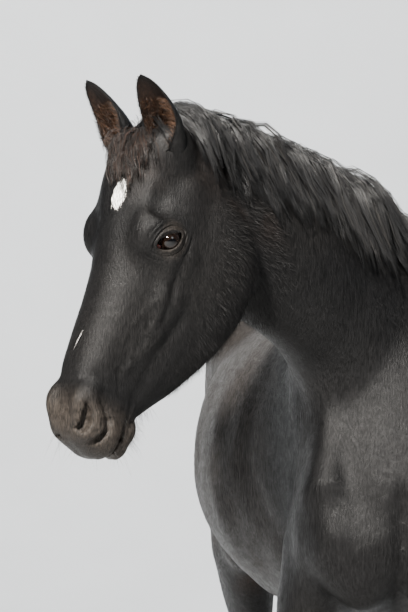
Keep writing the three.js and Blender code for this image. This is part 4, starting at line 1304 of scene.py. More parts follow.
def lathe(profile, turns):
    """A closed surface round the third axis from (radius, height) pairs that start and end on it."""
    profile = np.asarray(profile, float)
    angle = 2 * np.pi * np.arange(turns) / turns
    middle = profile[1:-1]
    rings = np.stack([middle[:, :1] * np.cos(angle), middle[:, :1] * np.sin(angle),
                      np.repeat(middle[:, 1:], turns, 1)], -1).reshape(-1, 3)
    verts = np.concatenate([[[0, 0, profile[0, 1]]], rings, [[0, 0, profile[-1, 1]]]])
    n = len(middle)
    caps = [fan(0, 1, turns, flipped=True), fan(len(verts) - 1, 1 + (n - 1) * turns, turns)]
    return verts, ring_quads(n, turns) + 1, np.concatenate(caps)


CORNEA_RADIUS = 15.5
CORNEA_RISE = 1.7


def eye_profile(rows=64):
    """Radius and height down the eyeball's axis, the cornea standing a little proud of it."""
    angle = np.linspace(0, np.pi, rows)
    radius, height = np.sin(angle) * EYE_RADIUS, np.cos(angle) * EYE_RADIUS
    bulge = smooth_step((CORNEA_RADIUS - radius) / 5.0) * (angle < np.pi / 2)
    height = height + CORNEA_RISE * bulge
    radius[0] = radius[-1] = 0.0
    return np.stack([radius, height], 1)


def ball_mesh(centre, size, axes, rows=14, turns=24):
    """An ellipsoid at a place in the head's frame, lying on axes there."""
    angle = np.linspace(0, np.pi, rows)
    verts, quads, caps = lathe(np.stack([np.sin(angle), -np.cos(angle)], 1), turns)
    verts[0] = [0, 0, -1]
    verts[-1] = [0, 0, 1]
    return verts * size @ axes + centre, quads, caps


# The pink flesh in the eye's inner corner, along, down and out from the eyeball's centre.
CORNER_FLESH = [([-21.5, 2.5, 9.0], [7.0, 5.0, 5.5]), ([-24.5, 3.5, 10.0], [3.4, 2.8, 4.6])]

for name, side in (("left", 1), ("right", -1)):
    flip = np.array([1, 1, side])
    verts, quads, caps = lathe(eye_profile()[::-1], 72)
    verts = EYE + verts @ EYE_AXES
    counts = len(quads), len(caps)
    for at, size in CORNER_FLESH:
        more = ball_mesh(EYE + np.array(at) @ EYE_AXES, size, EYE_AXES)
        quads = np.concatenate([quads, more[1] + len(verts)])
        caps = np.concatenate([caps, more[2] + len(verts)])
        verts = np.concatenate([verts, more[0]])
    if side < 0:
        quads, caps = quads[:, ::-1], caps[:, ::-1]
    eye = mesh_object("eyeball_" + name, head_point(verts * flip), [quads, caps],
                      [eye_material[side], flesh_material], ["eye_" + name])
    number = np.concatenate([np.arange(len(quads)) >= counts[0], np.arange(len(caps)) >= counts[1]])
    eye.data.polygons.foreach_set("material_index", number.astype(np.int32))


# ---------------------------------------------------------------- hooves

HOOF_SIDES = 64
HOOF_REACH = 34.0                           # how far ahead of its top a hoof's sole lies
# How far a hoof's top and sole reach from their middle: to the toe, to the heel, to the side.
HOOF_TOP = (41, 39, 41)
HOOF_SOLE = (69, 62, 62)


def leg_centre(side, fore, z):
    table = FORELEG if fore else HINDLEG
    axis, front, back, _ = columns(table, np.array([z], float))
    y = (front + back) / 2
    return np.array([side * axis[0], y[0] - step_at(np.array([side]), y, np.array([z]))[0], z])


def hoof_ring(centre, up, toe, heel, half):
    angle = 2 * np.pi * np.arange(HOOF_SIDES) / HOOF_SIDES
    c, s = np.cos(angle), np.sin(angle)
    ahead = np.where(c > 0, toe * c, -heel * np.abs(c) ** 0.72)
    out = half * np.sign(s) * np.abs(s) ** 0.9
    return centre + np.asarray(up)[None] * ahead[:, None] + np.array([1.0, 0, 0]) * out[:, None]


def hoof_mesh(side, fore):
    tilt = math.radians(CORONET_TILT)
    up = np.array([0, -math.cos(tilt), math.sin(tilt)])
    normal = np.array([0, math.sin(tilt), math.cos(tilt)])
    centre = leg_centre(side, fore, CORONET) - normal * 0.6
    ground = np.array([centre[0], centre[1] - HOOF_REACH, 0.0])
    top = hoof_ring(centre, up, *HOOF_TOP)
    sole = hoof_ring(ground, [0, -1, 0], *HOOF_SOLE)
    rings = []
    for t in np.linspace(0, 1, 26):
        bulge = 1.6 * np.exp(-((t - 0.06) / 0.06) ** 2)              # the coronet's soft band
        ridges = 0.35 * np.sin(t * 60.0) * smooth_step((t - 0.1) * 6)
        ring = top + (sole - top) * t
        out = ring - ring.mean(0)
        rings.append(ring + unit(out) * (bulge + ridges - 0.8))
    edge = rings[-1]
    rings[-1] = edge + [0, 0, 3.0]
    for share, rise in ((0.985, 0.0), (0.84, 0.0), (0.80, 4.0)):         # the sole, hollow inside
        rings.append(ground + (edge - ground) * share + [0, 0, rise])
    rings.insert(0, centre + (top - centre) * 0.8 + normal * 1.0)
    verts = np.concatenate([*rings, [ground + [0, 0, 7.0], centre + normal * 1.0]])
    caps = [fan(len(verts) - 2, (len(rings) - 1) * HOOF_SIDES, HOOF_SIDES),
            fan(len(verts) - 1, 0, HOOF_SIDES, flipped=True)]
    return verts, ring_quads(len(rings), HOOF_SIDES), np.concatenate(caps)


for pair, fore in (("fore", True), ("hind", False)):
    for name, side in (("left", 1), ("right", -1)):
        verts, quads, caps = hoof_mesh(side, fore)
        if (outwards(verts, quads) != quads).any():
            quads, caps = quads[:, ::-1], caps[:, ::-1]
        mesh_object("hoof_%s_%s_visual" % (pair, name), verts, [quads, caps], [hoof_material],
                    ["hoof_%s_%s" % (pair, name)])


# ---------------------------------------------------------------- hair

rng = np.random.default_rng(20261122)


CHARTS = 6                                  # charts in each row and column of the unwrap
CHART_EDGE = 0.04                           # the margin of a chart, as a share of it
# The box that the charts of each part show: its low corner and its size, in mm.
CHART_LOW = np.array([[-60, -420, -200], [-800, -1150, 700], [-400, -800, -20], [-400, -800, -20],
                      [-400, 200, -20], [-400, 200, -20]], float)
CHART_SIZE = np.array([700, 2150, 900, 900, 900, 900], float)


def unwrap(p, normal):
    """Where points of the skin lie on its unwrap: one chart for each part and each way it faces.

    The head, the neck and trunk, and each leg have a block of six charts, one a direction."""
    q = to_head(p)
    head = (q[:, 0] > -30) & (q[:, 1] > -330) & (np.abs(q[:, 2]) < 190) & (q[:, 0] < 640)
    leg = (p[:, 2] < 860) & ~head
    local = np.where(head[:, None], q, p)
    facing = np.where(head[:, None], normal @ HEAD.T, normal)
    part = np.where(head, 0, np.where(leg, 2 + (p[:, 0] < 0) + 2 * (p[:, 1] > 0), 1))
    axis = np.abs(facing).argmax(1)
    sign = np.take_along_axis(facing, axis[:, None], 1)[:, 0] > 0
    chart = part * CHARTS + axis * 2 + sign
    flat = (local - CHART_LOW[part]) / CHART_SIZE[part][:, None]
    pick = np.arange(len(p))
    first = flat[pick, np.where(axis == 0, 1, 0)]
    second = flat[pick, np.where(axis == 2, 1, 2)]
    inside = 1 - 2 * CHART_EDGE
    return np.stack([(chart % CHARTS + CHART_EDGE + inside * np.clip(first, 0, 1)) / CHARTS,
                     (chart // CHARTS + CHART_EDGE + inside * np.clip(second, 0, 1)) / CHARTS], 1)


def set_uv(piece, corner_uv):
    layer = piece.data.uv_layers.new(name="OFBake")
    layer.data.foreach_set("uv", np.asarray(corner_uv, np.float32).ravel())


def skin_normal(p):
    _, g = slope(skin_distance, p)
    return unit(g)


def strands(paths, widths, flat, normals):
    """Closed three-sided hairs along paths, n x (s + 1) points, that taper to their tips.

    widths is the half width at each point of a path, and flat how much thinner than wide."""
    n, s = paths.shape[:2]
    s -= 1
    ahead = np.empty_like(paths)
    ahead[:, 1:-1] = paths[:, 2:] - paths[:, :-2]
    ahead[:, 0] = paths[:, 1] - paths[:, 0]
    ahead[:, -1] = paths[:, -1] - paths[:, -2]
    ahead = unit(ahead + 1e-9)
    side = unit(np.cross(ahead, normals) + 1e-9)
    lift = np.cross(side, ahead)
    w = widths[..., None]
    corner = [side * w - lift * w * flat * 0.5, -side * w - lift * w * flat * 0.5, lift * w * flat]
    rings = np.stack(corner, 2) + paths[:, :, None]           # n, s + 1, 3, 3
    verts = np.concatenate([rings[:, :s].reshape(n, s * 3, 3), paths[:, s:]], 1)
    per = s * 3 + 1
    base = (np.arange(n) * per)[:, None, None]
    ring = (np.arange(s - 1) * 3)[None, :, None]
    j, k = np.arange(3)[None, None], (np.arange(3)[None, None] + 1) % 3
    a, b = base + ring + j, base + ring + k
    quads = np.stack([a, b, b + 3, a + 3], -1).reshape(-1, 4)
    base = (np.arange(n) * per)[:, None]
    j, k = np.arange(3)[None], (np.arange(3)[None] + 1) % 3
    tips = np.stack([base + (s - 1) * 3 + j, base + (s - 1) * 3 + k,
                     np.broadcast_to(base + per - 1, (n, 3))], -1).reshape(-1, 3)
    roots = (base + np.array([[2, 1, 0]])).reshape(-1, 3)
    return verts.reshape(-1, 3), quads, np.concatenate([tips, roots])


PATCH_SIZE = 0.003                          # each hair's share of the unwrap, from side to side


def hair_object(name, paths, widths, flat, normals, material, node_names, smooth=True):
    """A piece of joined hairs, each a small patch of the unwrap at its root's place.

    Its marks are along, which runs from root to tip, and shade, which varies from hair to hair."""
    verts, quads, tris = strands(paths, widths, flat, normals)
    piece = mesh_object(name, verts, [quads, tris], [material], node_names, smooth)
    n, s = paths.shape[:2]
    per = (s - 1) * 3 + 1
    root_uv = unwrap(paths[:, 0], normals[:, 0])
    along = np.concatenate([np.repeat(np.arange(s - 1), 3) / (s - 1), [1.0]])
    wide = np.concatenate([np.tile([0.0, 0.5, 1.0], s - 1), [0.5]])
    patch = PATCH_SIZE * np.stack([wide, along], 1) - PATCH_SIZE / 2
    vert_uv = (root_uv[:, None] + patch[None]).reshape(-1, 2)
    corner = np.concatenate([quads.ravel(), tris.ravel()])
    set_uv(piece, vert_uv[corner])
    keep_marks(piece, {"along": np.tile(along, n), "shade": np.repeat(rng.random(n), per)})
    return piece


def lift_off(p, clearance):
    """Points pushed out until they are clear of the skin by clearance, and the way out there."""
    shape = p.shape
    flat = p.reshape(-1, 3)
    here, g = slope(skin_distance, flat, 2.0)
    g = unit(g + 1e-9)
    push = np.clip(np.broadcast_to(clearance, shape[:-1]).ravel() - here, 0.0, 60.0)
    return (flat + g * push[:, None]).reshape(shape), g.reshape(shape)


def fall(root, direction, length, steps, gravity, clearance, stiff, wave=0.0):
    """Hairs that start along direction and fall over the skin. Returns n x (steps + 1) points."""
    n = len(root)
    paths = np.empty((n, steps + 1, 3))
    normals = np.empty((n, steps + 1, 3))
    paths[:, 0] = root
    _, first = lift_off(root, 0.0)
    normals[:, 0] = first
    heading = unit(direction)
    step = (length / steps)[:, None]
    phase = rng.random((n, 3)) * 2 * np.pi
    for j in range(steps):
        t = (j + 1) / steps
        shake = np.sin(phase + t * np.array([9.0, 7.0, 11.0])) * wave
        heading = unit(heading * stiff + gravity * (1 - stiff) + shake)
        p = paths[:, j] + heading * step
        p, normal = lift_off(p, clearance * min(1.0, 0.25 + 1.5 * t))
        inward = np.minimum((heading * normal).sum(1), 0.0)[:, None]
        heading = unit(heading - normal * inward)
        paths[:, j + 1] = p
        normals[:, j + 1] = normal
    return paths, normals


def in_locks(paths, normals, lock, spread_root, spread_tip, lift):
    """Many hairs round each path: lock is the path of each hair, spread its distance from it."""
    n = len(lock)
    steps = paths.shape[1]
    t = np.linspace(0, 1, steps)[None, :, None]
    centre, normal = paths[lock], normals[lock]
    ahead = unit(np.gradient(centre, axis=1) + 1e-9)
    side = unit(np.cross(ahead, normal) + 1e-9)
    across = rng.normal(size=(n, 1, 1)).clip(-2, 2)
    up = np.abs(rng.normal(size=(n, 1, 1))).clip(0, 2)
    wide = spread_root * (1 - t) + spread_tip * t
    wobble = np.sin(t * rng.uniform(5, 11, (n, 1, 1)) + rng.random((n, 1, 1)) * 6.28)
    out = centre + side * (across * wide + wobble * t * wide * 0.5)
    out += normal * (up * lift * np.sin(np.pi * np.clip(t * 1.1, 0, 1)) * 0.7)
    return out, normal


# ---------------------------------------------------------------- mane

DOWN = np.array([0.0, 0.0, -1.0])
hair_share = 1.0


def crest_points(s):
    """Points of the crest and across it at s: 0 at the withers, 1 at the end of the neck."""
    t, knot, tangent, right, up = NECK
    at = lambda rows: np.stack([np.interp(s, t, rows[:, j]) for j in range(3)], 1)
    rise = curve(s, np.linspace(0, 1, len(NECK_AXIS)), NECK_UP)
    top = at(knot) + unit(at(up)) * (rise * 0.97)[:, None]
    # Past the neck's end the crest runs over the poll to the forehead.
    poll = smooth_step((s - 0.93) / 0.07)[:, None]
    top = top * (1 - poll) + head_point([-28, 10, 0]) * poll
    for _ in range(3):
        here, g = slope(skin_distance, top, 2.0)
        top = top - unit(g) * here[:, None]
    return top, unit(at(right)), unit(at(tangent)), unit(at(up))


def sink_roots(root, depth=2.0):
    for _ in range(2):
        here, g = slope(skin_distance, root, 2.0)
        root = root - unit(g) * (here + depth)[:, None]
    return root


MANE_START = 0.18                           # how far up the crest the mane begins
MANE_SHORT, MANE_MORE = 182, 72             # its length at the poll, and how much longer it grows


def mane_guides(count, lift, scale=1.0, upright=0.0):
    s = np.clip(rng.uniform(MANE_START, 1.0, count) ** 0.95, MANE_START, 1.0)
    top, right, ahead, up = crest_points(s)
    root = sink_roots(top + right * rng.normal(2.0, 8.0, count)[:, None])
    near_poll = smooth_step((s - 0.55) / 0.3)
    lean = np.stack([rng.normal(0.8, 0.22, count) - 0.15 * near_poll,
                     rng.normal(0.62 + upright, 0.25, count) + 0.35 * near_poll,
                     rng.normal(-0.12, 0.26, count)], 1)
    direction = -right * lean[:, :1] + up * lean[:, 1:2] + ahead * lean[:, 2:]
    length = scale * (MANE_SHORT + MANE_MORE * smooth_step((0.85 - s) / 0.5))
    length = length * rng.uniform(0.66, 1.25, count)
    pull = unit(DOWN + np.array([0.20, 0.10, 0.0]))
    return fall(root, direction, length, 12, pull, lift, stiff=0.66, wave=0.11)


def hairs(name, guides, count, node_names, spread_root=9.0, spread_tip=3.5, lift=7.0, width=1.0,
          keep=slice(None, None, 2), clear=2.0, material=None):
    """A piece of hairs gathered in locks round the guides."""
    paths, normals = guides
    lock = rng.integers(0, len(paths), count)
    paths, normals = in_locks(paths, normals, lock, spread_root, spread_tip, lift)
    paths, _ = lift_off(paths, clear)
    paths[:, 0] = sink_roots(paths[:, 0], 1.5)
    paths, normals = paths[:, keep], normals[:, keep]
    t = np.linspace(0, 1, paths.shape[1])[None]
    widths = width * rng.uniform(0.55, 1.15, (count, 1)) * (1 - 0.75 * t ** 1.6)
    return hair_object(name, paths, widths, 0.45, normals, material or hair_material,
                       node_names)


hairs("mane_under", mane_guides(230, 5.0), int(4600 * hair_share), ["mane"], width=1.0)
hairs("mane_over", mane_guides(250, 11.0), int(5200 * hair_share), ["mane"], spread_root=6.0,
      spread_tip=2.2, width=0.75)
hairs("mane_stray", mane_guides(320, 8.0, 0.36, 0.4), int(1300 * hair_share), ["mane"],
      spread_root=4.0, spread_tip=7.0, width=0.42)


# ---------------------------------------------------------------- forelock

def forelock_guides(count, lift, scale=1.0):
    """Short ragged hair that rises between the ears and falls over the forehead."""
    u = rng.uniform(-34, 46, count)
    w = rng.normal(0, 20, count) * (1 - 0.004 * (u + 34))
    root = sink_roots(head_point(np.stack([u, np.full(count, 12.0), w], 1)))
    out = rng.normal(0, 0.45, count) + w / 60
    direction = np.stack([rng.normal(0.25, 0.35, count) + u / 120,
                          rng.normal(0.75, 0.25, count), out + 0.2], 1)
    length = scale * rng.uniform(32, 84, count) * (1 + 0.3 * smooth_step(w / 30))
    pull = unit(DOWN * 0.7 + HEAD[0] * 0.4 + HEAD[2] * 0.55)
    return fall(root, direction @ HEAD, length, 10, pull, lift, stiff=0.66, wave=0.14)


hairs("forelock_under", forelock_guides(90, 3.0), int(1500 * hair_share), ["forelock"],
      spread_root=6.0, spread_tip=3.0, lift=4.0, width=0.6, material=forelock_material)
hairs("forelock_over", forelock_guides(70, 7.0, 1.15), int(900 * hair_share), ["forelock"],
      spread_root=5.0, spread_tip=2.0, lift=6.0, width=0.5, material=forelock_material)


# ---------------------------------------------------------------- tail

# The dock's middle line from the croup down, and how thick it is there.
TAIL_DOCK = [[0, 728, 1398], [0, 778, 1384], [0, 826, 1336], [0, 850, 1250], [0, 854, 1160]]
DOCK_THICK = [5, 20, 25, 20, 8]
DOCK_STEPS = np.linspace(0, 1, len(TAIL_DOCK))
TAIL_END = 500.0                            # height of the tip of the longest hairs
TAIL_STEPS = [0, 1, 2, 4, 7, 11, 18]         # close together where the hairs turn down


def tail_guides(count, loose):
    """Locks that start round the dock, arch back over it and hang close together."""
    start = rng.uniform(0.0, 1.0, count) ** 1.2
    dock = np.asarray(TAIL_DOCK, float)
    at = lambda s: np.stack([curve(s, DOCK_STEPS, dock[:, j]) for j in range(3)], 1)
    tangent = unit(at(np.minimum(start + 0.05, 1)) - at(np.maximum(start - 0.05, 0)))
    turn = rng.uniform(0, 2 * np.pi, count)[:, None]
    over = np.cross(tangent, [-1.0, 0.0, 0.0])
    ring = np.cos(turn) * np.array([1.0, 0, 0]) + np.sin(turn) * over
    root = at(start) + ring * curve(start, DOCK_STEPS, DOCK_THICK)[:, None]
    way = tangent * 0.6 + ring * rng.uniform(0.1, loose, (count, 1)) * 0.5 + DOWN * 1.1
    end = TAIL_END + 190 * rng.random(count) ** 1.6
    length = (root[:, 2] - end) * rng.uniform(0.96, 1.06, count)
    drift = unit(DOWN + np.array([0, 0.02, 0]))
    paths, _ = fall(root, way, length, 18, drift, 3.0, stiff=0.48, wave=0.03)
    return paths, unit(np.repeat(ring[:, None], paths.shape[1], 1) + 1e-9)


hairs("tail_inner", tail_guides(170, 0.5), int(3200 * hair_share), ["tail"], spread_root=8.0,
      spread_tip=9.0, lift=5.0, width=1.5, clear=1.0, keep=TAIL_STEPS)
hairs("tail_outer", tail_guides(210, 1.1), int(3900 * hair_share), ["tail"], spread_root=7.0,
      spread_tip=5.0, lift=8.0, width=1.1, clear=1.0, keep=TAIL_STEPS)


# ---------------------------------------------------------------- short coat

triangles = np.concatenate([skin_faces[:, [0, 1, 2]], skin_faces[:, [0, 2, 3]]])
side_a = skin_verts[triangles[:, 1]] - skin_verts[triangles[:, 0]]
side_b = skin_verts[triangles[:, 2]] - skin_verts[triangles[:, 0]]
cross = np.cross(side_a, side_b)
face_area = np.linalg.norm(cross, axis=1) / 2
face_middle = skin_verts[triangles].mean(1)
corner_normal = np.zeros_like(skin_verts)
for j in range(3):
    np.add.at(corner_normal, triangles[:, j], cross)
corner_normal = unit(corner_normal + 1e-12)


def turned(way, other, share):
    """A way turned towards another by a share for each point."""
    share = share[:, None]
    return way * (1 - share) + np.asarray(other) * share


def lie(p, normal):
    """The way the short coat lies at points of the skin."""
    u, v, w = to_head(p).T
    x, y, z = p.T
    body = np.tile([0.0, 0.72, -0.62], (len(p), 1))
    body = turned(body, [0.0, 0.1, -1.0], smooth_step((-520 - y) / 140))
    body = turned(body, [0.0, 0.25, -0.9], smooth_step((y - 520) / 150))
    body = turned(body, [0.0, 0.12, -1.0], smooth_step((900 - z) / 160))
    t, _, _, past = on_neck(p)
    tangent = np.stack([np.interp(t, NECK[0], NECK[2][:, j]) for j in range(3)], 1)
    neck = smooth_step(t * 3) * smooth_step((60 - past) / 60) * (z > 1050) * (x < 200)
    body = turned(body, -0.75 * tangent + [0.0, 0.0, -0.55], neck)
    # Down the face from a whorl on the forehead, back over the cheeks, up to the ears above it.
    fan_out = np.stack([0.9 + 0 * u, -0.35 - 0.3 * smooth_step((-v - 90) / 80), 0.006 * w], 1)
    crown = np.stack([-0.5 + 0 * u, 0.3 + 0 * u, 0.008 * w], 1)
    face = turned(fan_out, crown, smooth_step((104 - u) / 60))
    back = smooth_step((210 - u) / 80) * smooth_step((-v - 90) / 60)
    face = turned(face, [0.35, -0.9, 0.0], back)
    head = (head_away(p) < 335) & (u > -20)
    way = np.where(head[:, None], unit(face) @ HEAD, unit(body))
    way = way - normal * (way * normal).sum(1)[:, None]
    return unit(way + 1e-9)


def roots_on(weight, count):
    """Random places on the skin, as often as weight says, with the skin's normal there."""
    share = face_area * weight
    pick = rng.choice(len(share), count, p=share / share.sum())
    a, b = rng.random((2, count, 1))
    flip = a + b > 1
    a, b = np.where(flip, 1 - a, a), np.where(flip, 1 - b, b)
    corners, normals = skin_verts[triangles[pick]], corner_normal[triangles[pick]]
    mix = lambda rows: rows[:, 0] * (1 - a - b) + rows[:, 1] * a + rows[:, 2] * b
    return mix(corners), unit(mix(normals))


STAR_SHARE, STAR_RAGGED = 0.95, 0.08        # the white part of the star's size, its ragged edge


def in_star(root):
    """1 for each tuft in the star and 0 for the others."""
    local = (to_head(root) - STAR_CENTRE) @ HEAD @ np.array(star_turn()) / np.array(STAR_HALF)
    away = np.linalg.norm(local, axis=1) + rng.normal(0, STAR_RAGGED, len(root))
    return (away < STAR_SHARE).astype(float)


def tufts(name, weight, count, length, width, rise, loose, node_names, bent=False):
    """A piece of short tufts that lie along the coat; rise and loose are how far they stand."""
    count = int(count * hair_share)
    root, normal = roots_on(weight, count)
    way = lie(root, normal)
    side = np.cross(normal, way)
    way = unit(way + side * rng.normal(0, 0.16 + loose, (count, 1)))
    long = (length(root) * rng.uniform(0.7, 1.25, count))[:, None]
    up = rise(root)[:, None] * rng.uniform(0.4, 1.3, (count, 1))
    tip = root + way * long + normal * up + side * rng.normal(0, 0.1, (count, 1)) * long
    middle = root + way * long * 0.5 + normal * (up * 0.62 + 0.25)
    start = root - normal * 0.5 - way * 0.4
    paths = np.stack([start, middle, tip] if bent else [start, tip], 1)
    normals = np.repeat(normal[:, None], paths.shape[1], 1)
    wide = width * rng.uniform(0.7, 1.2, (count, 1))
    widths = wide * np.array([1.0, 0.8, 0.1] if bent else [1.0, 0.1])
    piece = hair_object(name, paths, widths, 0.25, normals, tuft_material, node_names,
                        smooth=False)
    marks = skin_marks(root)
    marks["star"] = in_star(root)
    per = len(piece.data.vertices) // count
    keep_marks(piece, {key: np.repeat(value, per) for key, value in marks.items()})
    return piece


NOSTRIL_MIDDLE = [534, -24, 50]
q = to_head(face_middle)
clear_of_eyes = smooth_step((pair_away(q, EYE) - 34) / 8)
clear_of_nostrils = smooth_step((pair_away(q, NOSTRIL_MIDDLE) - 22) / 20)
head_share = smooth_step((330 - head_away(face_middle)) / 40)
above_hooves = face_middle[:, 2] > 84


def jaw_edge(p):
    """How far a place is on the long-haired under side of the jaw."""
    q = to_head(p)
    return smooth_step((-q[:, 1] - 120) / 120) * smooth_step((480 - q[:, 0]) / 70)


def face_length(p):
    return 5.0 + 6.0 * jaw_edge(p) - 1.5 * smooth_step((to_head(p)[:, 0] - 440) / 80)


def face_rise(p):
    return 0.7 + 2.4 * jaw_edge(p)


def body_length(p):
    return 9.0 + 5.0 * smooth_step((p[:, 1] + 300) / 900) - 3.5 * smooth_step((700 - p[:, 2]) / 300)


cheek = smooth_step((-q[:, 1] - 60) / 100) * smooth_step((470 - q[:, 0]) / 60)
face_share = head_share * clear_of_eyes * clear_of_nostrils * (0.6 + 0.9 * cheek)
tufts("coat_head", face_share, 46000, face_length, 0.26, face_rise, 0.08, ["head"])
fringe = head_share * smooth_step((jaw_edge(face_middle) - 0.35) / 0.4)
tufts("coat_jaw", fringe, 7000, lambda p: 9.0 + 7.0 * jaw_edge(p), 0.24,
      lambda p: 2.5 + 7.0 * jaw_edge(p), 0.16, ["head"], bent=True)
neck_share = smooth_step((1050 - head_away(face_middle)) / 250)
tufts("coat_forehand", (1 - head_share) * neck_share * (face_middle[:, 2] > 800), 46000, body_length,
      0.42, lambda p: np.full(len(p), 1.3), 0.07, ["neck"])
tufts("coat_trunk", (1 - neck_share) * (face_middle[:, 2] > 780), 40000, body_length, 0.6,
      lambda p: np.full(len(p), 1.4), 0.07, ["trunk"])
tufts("coat_legs", (face_middle[:, 2] < 880) * above_hooves, 36000,
      lambda p: 6.0 + 4 * smooth_step((p[:, 2] - 300) / 400), 0.4,
      lambda p: np.full(len(p), 1.2), 0.07,
      ["leg_fore_left", "leg_fore_right", "leg_hind_left", "leg_hind_right"])


# ---------------------------------------------------------------- whiskers, lashes, ear hair

def standing(name, root, way, length, width, curl, node_names, material=None, steps=4):
    """Single hairs that stand out along a way and curl towards curl as they grow."""
    count = len(root)
    t = np.linspace(0, 1, steps + 1)
    length = np.asarray(length)[:, None]
    paths = np.stack([root + way * length * s + curl * length * s ** 2 for s in t], 1)
    paths[:, 0] -= 2.0 * way
    side = unit(np.cross(way, rng.normal(size=(count, 3))))
    normals = np.repeat(side[:, None], steps + 1, 1)
    widths = width * rng.uniform(0.7, 1.2, (count, 1)) * (1 - 0.85 * t[None])
    return hair_object(name, paths, widths, 0.9, normals, material or hair_material,
                       node_names)


def hair_spots(spots, spread):
    """Places on the head's skin round spots in its frame, and the way out there."""
    p = sink_roots(head_point(np.asarray(spots) + rng.normal(size=(len(spots), 3)) * spread), 0.5)
    return p, skin_normal(p)


WHISKERS, CHIN_HAIRS = 150, 220
lips = np.stack([rng.uniform(505, 575, WHISKERS), rng.uniform(-150, -20, WHISKERS),
                 rng.choice([-1, 1], WHISKERS) * rng.uniform(5, 55, WHISKERS)], 1)
root, normal = hair_spots(lips, 2.0)
way = unit(normal + 0.5 * DOWN + rng.normal(0, 0.2, normal.shape))
standing("whiskers", root, way, rng.uniform(14, 42, len(root)), 0.20, DOWN * 0.25, ["head"])

chin = np.stack([rng.uniform(470, 545, CHIN_HAIRS), rng.uniform(-185, -135, CHIN_HAIRS),
                 rng.normal(0, 16, CHIN_HAIRS)], 1)
root, normal = hair_spots(chin, 2.0)
way = unit(normal + 0.4 * HEAD[0] + rng.normal(0, 0.25, normal.shape))
standing("chin_hair", root, way, rng.uniform(8, 26, len(root)), 0.18, DOWN * 0.3, ["head"])

# Upper lashes stand out and down over the eye.
LASHES = 90
for number, side in ((1, 1), (2, -1)):
    flip = np.array([1, 1, side])
    along = rng.uniform(-15, 19, LASHES)
    down = UPPER_RADIUS - LID_ABOVE - np.sqrt(UPPER_RADIUS ** 2 - along ** 2) - 2.2
    q = EYE + np.stack([along, down, np.full(LASHES, 14.0)], 1) @ EYE_AXES
    for _ in range(3):
        here = animal(head_point(q * flip), openings=False)
        q = q - EYE_OUT * (here + 1.5)[:, None]
    way = unit((EYE_OUT * 0.9 + EYE_DOWN * 0.35 + EYE_ALONG * (along / 45)[:, None]
                + rng.normal(0, 0.08, (LASHES, 3))) * flip @ HEAD)
    curl = (EYE_DOWN * -0.25 * flip) @ HEAD
    standing("lashes_%d" % number, head_point(q * flip), way, rng.uniform(11, 19, LASHES), 0.22,
             curl, ["head"])


def ear_hair(name, side, count, length, edge, width):
    """Hair inside an ear's cup, or along its edge."""
    t = rng.uniform(0.02, 0.97 if edge else 0.62, count)
    low, high = (0.93, 1.0) if edge else (0.1, 0.95)
    k = rng.choice([-1, 1], count) * rng.uniform(low, high, count)
    inner = np.full(count, not edge)
    root = ear_point(side, t, k, inner)
    axis, opening, _, _ = ear_frame(side)
    inward = unit(ear_point(side, t, k * 0, inner) - root + 1e-6)
    if edge:
        way = axis * 0.8 + opening * 0.35 - inward * 0.2
    else:
        way = axis * 0.7 + opening * 0.5 + inward * 0.5
    way = unit(way + rng.normal(0, 0.18, (count, 3)))
    long = length * rng.uniform(0.5, 1.2, count) * (1.1 - 0.7 * t)
    standing(name, root, way, long, width, opening * 0.15,
             ["ear_left" if side > 0 else "ear_right"],
             None if edge else ear_hair_material, steps=3)


for number, side in ((1, 1), (2, -1)):
    ear_hair("ear_hair_%d" % number, side, int(900 * hair_share), 26.0, False, 0.35)
    ear_hair("ear_edge_%d" % number, side, int(800 * hair_share), 8.0, True, 0.3)


def white_streak(count):
    """A few white hairs that lie down the bridge of the nose."""
    spots = np.stack([rng.uniform(370, 382, count), np.full(count, 6.0), rng.normal(9, 0.5, count)], 1)
    way = unit(HEAD[0] - 0.25 * HEAD[2])
    root = sink_roots(head_point(spots), 1.0)
    paths, normals = fall(root, np.repeat([way], count, 0), rng.uniform(32, 44, count), 6, way, 1.8,
                          stiff=0.9)
    widths = np.repeat([[0.2, 0.18, 0.14, 0.05]], count, 0)
    hair_object("white_streak", paths[:, ::2], widths, 0.5, normals[:, ::2], white_hair_material,
                ["head"])


white_streak(4)


# ---------------------------------------------------------------- floor, lights and camera

def floor_and_backdrop():
    """A pale floor that curves up into a narrow pale wall far behind the animal."""
    material, tree, shader = new_material("studio floor")
    grain = noise(tree, object_place(tree), 3.0, 6.0, 0.5)
    tint = ramp(tree, grain, [(0.0, (0.44, 0.444, 0.448)), (1.0, (0.49, 0.493, 0.496))])
    finish_shader(tree, shader, tint, 0.9)
    mesh = bpy.data.meshes.new("studio_floor")
    half, front, back, bend, height = 14.0, -14.0, 9.0, 4.0, 5.0
    wall_half = 4.0                         # so narrow that a view from behind passes beside it
    side = [(front, 0.0), (back - bend, 0.0)]
    for angle in np.linspace(0, math.pi / 2, 25)[1:]:
        side.append((back - bend + bend * math.sin(angle), bend - bend * math.cos(angle)))
    side.append((back, height))
    verts = [(x, y, z) for y, z in side
             for x in ((-half, half) if z == 0.0 else (-wall_half, wall_half))]
    mesh.from_pydata(verts, [], [(2 * j, 2 * j + 1, 2 * j + 3, 2 * j + 2)
                                 for j in range(len(side) - 1)])
    for face in mesh.polygons:
        face.use_smooth = True
    mesh.materials.append(material)
    return linked("studio_floor", mesh)


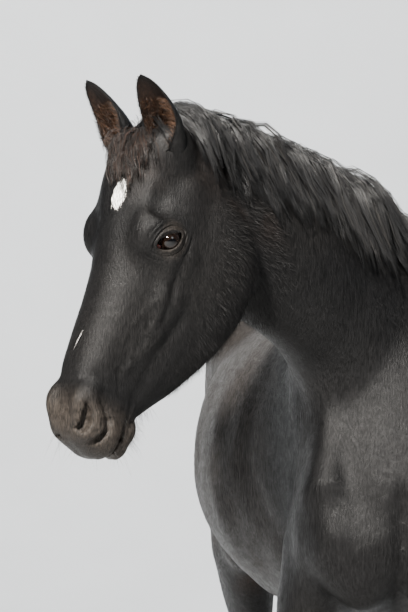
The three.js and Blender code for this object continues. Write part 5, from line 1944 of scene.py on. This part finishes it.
def area_light(name, spot, aim, size, power, colour):
    data = bpy.data.lights.new(name, "AREA")
    data.shape = "DISK"
    data.size = size
    data.energy = power
    data.color = colour
    light = linked(name, data)
    light.location = spot
    light.rotation_mode = "QUATERNION"
    light.rotation_quaternion = (Vector(spot) - Vector(aim)).to_track_quat("Z", "Y")


floor_and_backdrop()
head_spot = placed(HEAD_CENTRE)
area_light("key", (-1.9, -5.6, 5.4), (-0.2, -0.7, 1.4), 0.5, 2500, (1.0, 0.96, 0.90))
area_light("fill", (3.4, -4.8, 3.4), head_spot, 2.0, 50, (0.86, 0.93, 1.0))
area_light("back", (2.0, 4.5, 4.5), (0, 0, 1.2), 3.0, 25, (0.66, 0.80, 1.0))
area_light("wall", (0.0, 3.0, 7.5), (0, 9.0, 2.5), 4.0, 1650, (0.95, 0.98, 1.0))
world = bpy.data.worlds.new("sky light")
world.use_nodes = True
sky = world.node_tree.nodes["Background"]
sky.inputs["Color"].default_value = (0.70, 0.82, 0.95, 1)
sky.inputs["Strength"].default_value = 0.12
bpy.context.scene.world = world

# The camera stands in front, a little to the animal's right, with a long lens.
CAMERA_TURN = -4.5                          # degrees round to the animal's right
CAMERA_AWAY = 6000.0                        # mm from the poll
CAMERA_ASIDE = 126.0                        # mm that the line of sight passes right of the poll
CAMERA_BELOW = 219.7                        # mm that the lens is lower than the poll
CAMERA_DIP = 0.944                          # degrees that it looks down
turn, dip = math.radians(CAMERA_TURN), math.radians(CAMERA_DIP)
right = np.array([math.cos(turn), math.sin(turn), 0])
back = np.array([math.sin(turn), -math.cos(turn), 0])
spot = POLL + back * CAMERA_AWAY + right * CAMERA_ASIDE - np.array([0, 0, CAMERA_BELOW])
camera_data = bpy.data.cameras.new("camera")
camera_data.sensor_width = 36.0
camera_data.lens = 200.0
camera_data.clip_end = 200.0
camera = linked("camera", camera_data)
camera.location = placed(spot)
up = np.array([0, 0, 1.0]) * math.cos(dip) - back * math.sin(dip)
away = back * math.cos(dip) + np.array([0, 0, 1.0]) * math.sin(dip)
camera.rotation_mode = "QUATERNION"
camera.rotation_quaternion = Matrix([right, up, away]).transposed().to_quaternion()
bpy.context.scene.camera = camera
